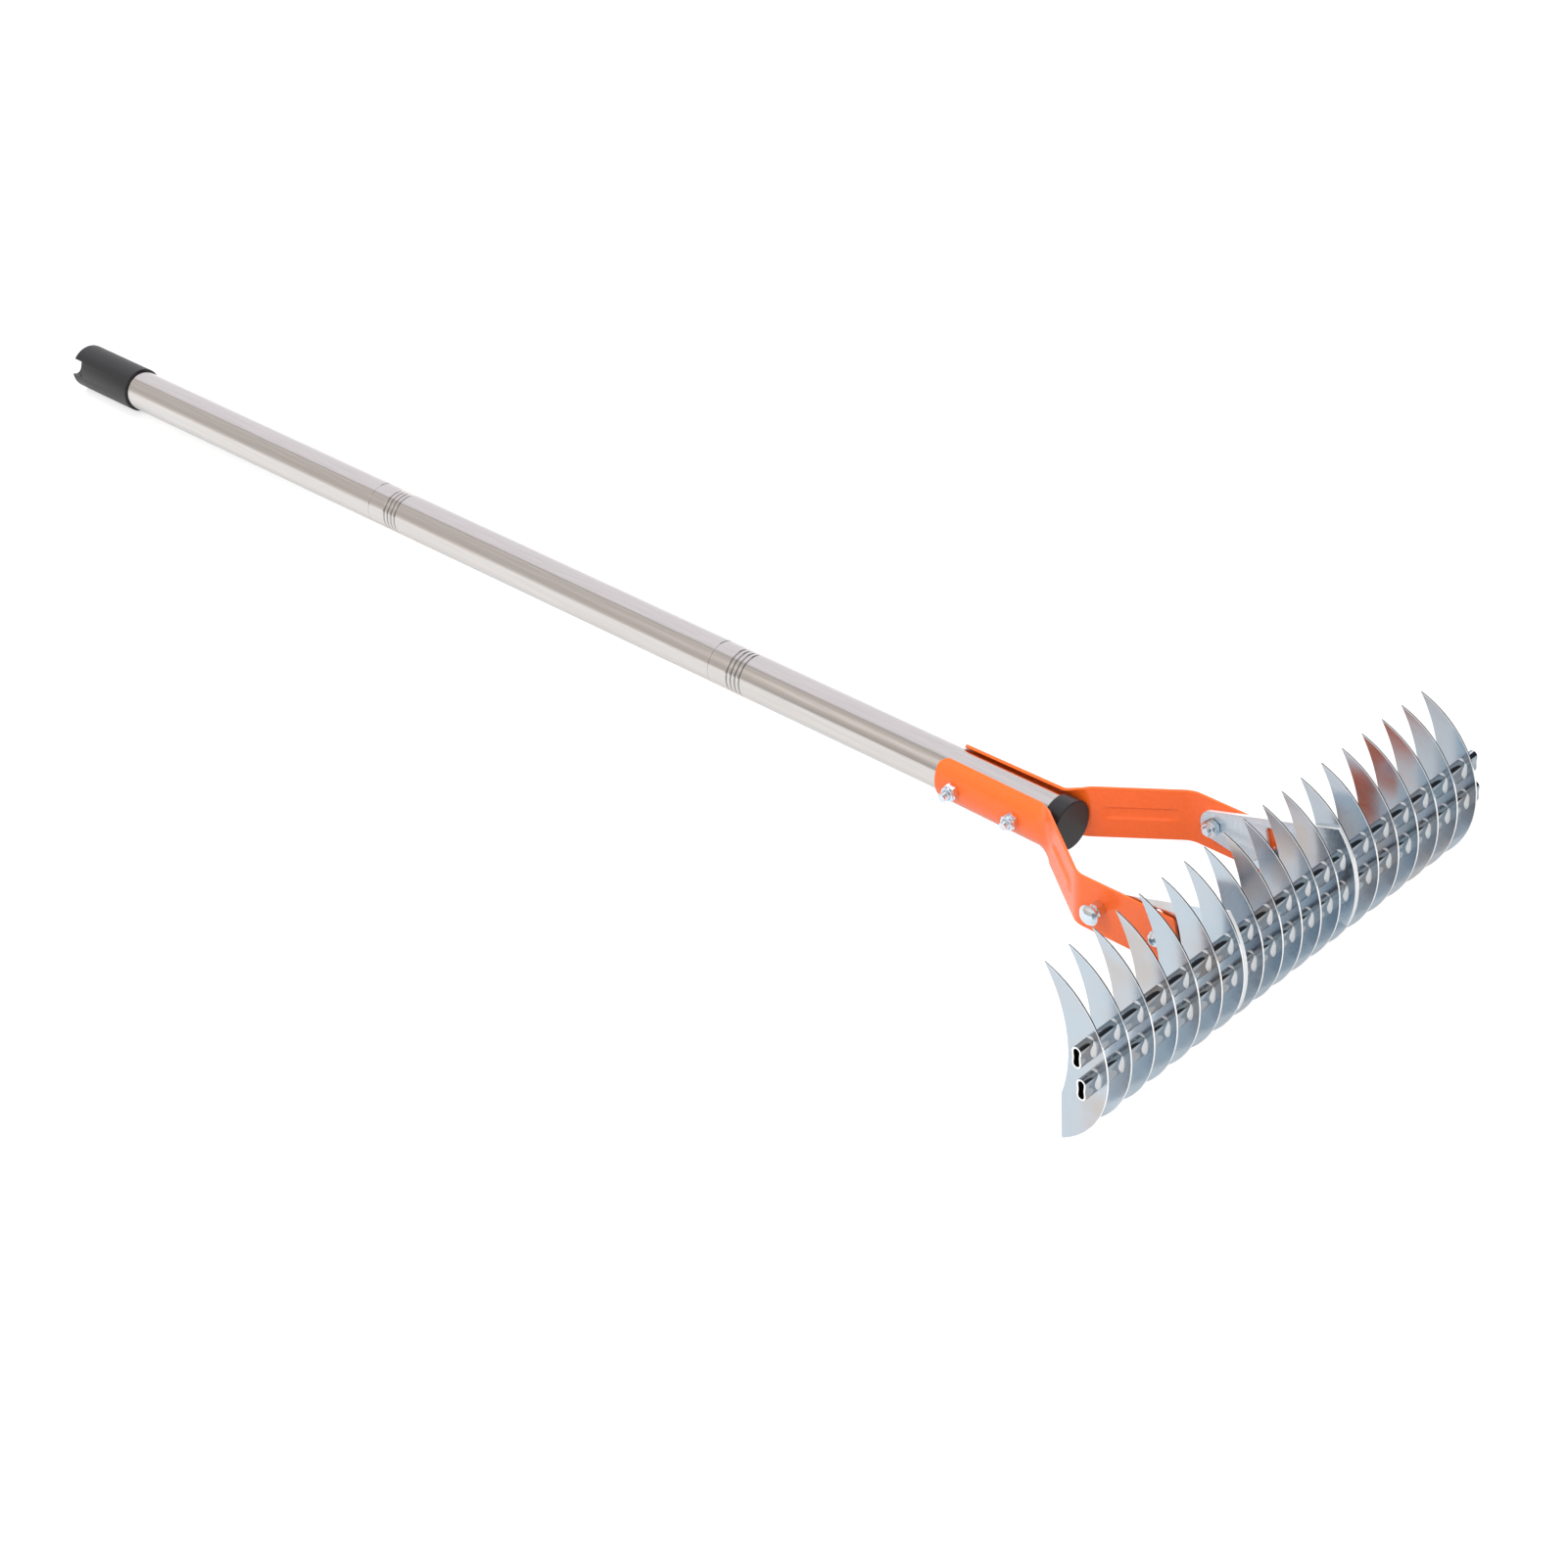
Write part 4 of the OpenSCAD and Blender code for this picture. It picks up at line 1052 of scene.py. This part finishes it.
FLOOR_HALF = 6.0
FLOOR_GREY = (0.5, 0.5, 0.5, 1)
FLOOR_GLOW = 0.62
FLOOR_NEAR, FLOOR_FAR = 1.0, 4.0
FLOOR_MIRRORED = 0.34
WHITE = (1, 1, 1, 1)
ROOM_LIGHT = 0.6

# Each lamp's place and width in metres, and its power in watts.
LAMPS = (("top_soft_box", (-0.1, -1.5, 2.2), 2.2, 56.0),
         ("side_soft_box", (1.9, 0.2, 2.0), 1.0, 25.0),
         ("front_soft_box", (1.7, 1.9, 1.2), 1.5, 30.0))

# The camera's place in the handle's own frame, and its right and down in the same frame.
EYE = Vector((1230.6, 1031.1, 1113.4))
EYE_RIGHT = Vector((-0.6933, 0.7186, -0.0549))
EYE_DOWN = Vector((0.4328, 0.3542, -0.8290))
LENS = 74.31
SENSOR = 36.0
FAR_CLIP = 100.0

corners = ((-1, -1), (1, -1), (1, 1), (-1, 1))
floor = mesh_piece("floor", [(x * FLOOR_HALF, y * FLOOR_HALF, 0) for x, y in corners],
                   [(0, 1, 2, 3)], place=Matrix.Identity(4))
paper, tree, shader = new_material("white_floor", Base_Color=FLOOR_GREY, Roughness=0.9,
                                   Specular_IOR_Level=0.0, Emission_Color=WHITE)
path = put(tree, "ShaderNodeLightPath").outputs
mirrored = calc(tree, "MAXIMUM", path["Is Glossy Ray"], path["Is Transmission Ray"])
spot = put(tree, "ShaderNodeTexCoord").outputs["Object"]
away = put(tree, "ShaderNodeVectorMath", {0: spot}, operation="LENGTH").outputs["Value"]
white = put(tree, "ShaderNodeMapRange", {
    "Value": away, "From Min": FLOOR_NEAR, "From Max": FLOOR_FAR,
    "To Min": FLOOR_GLOW, "To Max": 1.0}).outputs[0]
lift = calc(tree, "ADD", calc(tree, "MULTIPLY", path["Is Camera Ray"], white),
            calc(tree, "MULTIPLY", mirrored, FLOOR_MIRRORED))
tree.links.new(lift, shader.inputs["Emission Strength"])
floor.data.materials.append(paper)

scene = bpy.context.scene
scene.view_settings.view_transform = "Standard"
world = bpy.data.worlds.new("white_room")
scene.world = world
world.use_nodes = True
tree = world.node_tree
path = put(tree, "ShaderNodeLightPath").outputs
seen = calc(tree, "MAXIMUM", path["Is Camera Ray"], path["Is Glossy Ray"])
seen = calc(tree, "MAXIMUM", seen, path["Is Transmission Ray"])
background = tree.nodes["Background"]
background.inputs["Color"].default_value = WHITE
strength = put(tree, "ShaderNodeMapRange", {"Value": seen, "To Min": ROOM_LIGHT, "To Max": 1.0})
tree.links.new(strength.outputs[0], background.inputs["Strength"])

# Cards and soft boxes round the set, as an arch along the handle that only metal and paint mirror.
ARCH_R = 4.0
ARCH_HALF = 9.0
ARCH_STEPS = 48
WARMTH = (1.06, 1.0, 0.95)
LILAC = (0.94, 0.92, 0.97)
BLACK = (0.04, 0.045, 0.05, 1)
STRIP_WHITE = (2.2, 2.2, 2.24, 1)

# Brightness of the near side by the angle about the handle, in degrees up from the near horizon.
BESIDE_FORK = ((0, 0.9), (3, 0.85), (5, 0.38), (8, 0.42), (12, 0.52), (20, 0.57), (30, 0.68),
               (38, 0.88), (46, 0.97), (52, 0.82), (60, 0.67), (70, 0.58), (78, 0.5), (81, 0.45))
BESIDE_GRIP = ((0, 0.83), (5, 0.8), (9, 0.72), (14, 0.58), (36, 0.59), (46, 0.65), (54, 0.6),
               (64, 0.62), (72, 0.7), (77, 0.66), (79, 0.36), (82, 0.36))
LILAC_FROM = 84

# Soft bounds: of the far side as shares of half a turn, and of the rest along the arch as shares
# of its radius.
FAR_SIDE = (0.66, 0.7)
FORK_SIDE = (-0.9, -0.7)
DARK_START = (-0.53, -0.47)
STRIP_START = (-0.42, -0.38)
STRIP_END = (0.02, -0.02)

turns = [math.pi * i / ARCH_STEPS for i in range(ARCH_STEPS + 1)]
walls = mesh_piece(
    "reflection_arch",
    [(ARCH_R * math.cos(t), y, ARCH_R * math.sin(t))
     for y in (-ARCH_HALF, ARCH_HALF) for t in turns],
    [(i, i + 1, i + ARCH_STEPS + 2, i + ARCH_STEPS + 1) for i in range(ARCH_STEPS)],
    place=Matrix.Identity(4))
walls.visible_camera = walls.visible_diffuse = walls.visible_shadow = False
arch, tree, shader = new_material("cards_and_soft_boxes", Base_Color=(0, 0, 0, 1),
                                  Specular_IOR_Level=0.0, Emission_Strength=1.0)
way = put(tree, "ShaderNodeSeparateXYZ", {0: put(tree, "ShaderNodeTexCoord").outputs["Object"]})
length = way.outputs["Y"]
roll = calc(tree, "DIVIDE", calc(tree, "ARCTAN2", way.outputs["Z"], way.outputs["X"]), math.pi)


def arch_band(stops):
    """The arch's colour by the angle about the handle: a warm near side and a lilac far one."""
    near = [(angle / 180, [tint * level for tint in WARMTH]) for angle, level in stops]
    return colour_ramp(tree, roll, near + [(LILAC_FROM / 180, LILAC), (1.0, LILAC)])


def rise(value, bounds, scale=1.0):
    """Zero at the first bound, one at the second."""
    return put(tree, "ShaderNodeMapRange", {
        "Value": value, "From Min": scale * bounds[0], "From Max": scale * bounds[1]},
        interpolation_type="SMOOTHSTEP").outputs[0]


cards = blend(tree, rise(length, FORK_SIDE, ARCH_R), arch_band(BESIDE_GRIP), arch_band(BESIDE_FORK))
far_side = rise(roll, FAR_SIDE)
dark_card = calc(tree, "MULTIPLY", far_side, rise(length, DARK_START, ARCH_R))
cards = blend(tree, dark_card, cards, BLACK)
strip_box = calc(tree, "MULTIPLY", rise(length, STRIP_START, ARCH_R),
                 rise(length, STRIP_END, ARCH_R))
cards = blend(tree, calc(tree, "MULTIPLY", far_side, strip_box), cards, STRIP_WHITE)
tree.links.new(cards, shader.inputs["Emission Color"])
walls.data.materials.append(arch)

for name, place, size, power in LAMPS:
    lamp = bpy.data.lights.new(name, "AREA")
    lamp.size, lamp.energy = size, power
    soft_box = bpy.data.objects.new(name, lamp)
    aimed = Vector(place).to_track_quat("Z", "Y").to_matrix().to_4x4()
    soft_box.matrix_world = Matrix.Translation(place) @ aimed
    soft_box.visible_glossy = False
    scene.collection.objects.link(soft_box)

lens = bpy.data.cameras.new("camera")
lens.lens, lens.sensor_width, lens.clip_end = LENS, SENSOR, FAR_CLIP
camera = bpy.data.objects.new("camera", lens)
right, down = handle_turn @ EYE_RIGHT, handle_turn @ EYE_DOWN
turn = Matrix((right, -down, -right.cross(down))).transposed()
camera.matrix_world = Matrix.Translation(handle @ EYE) @ turn.to_4x4()
scene.collection.objects.link(camera)
scene.camera = camera
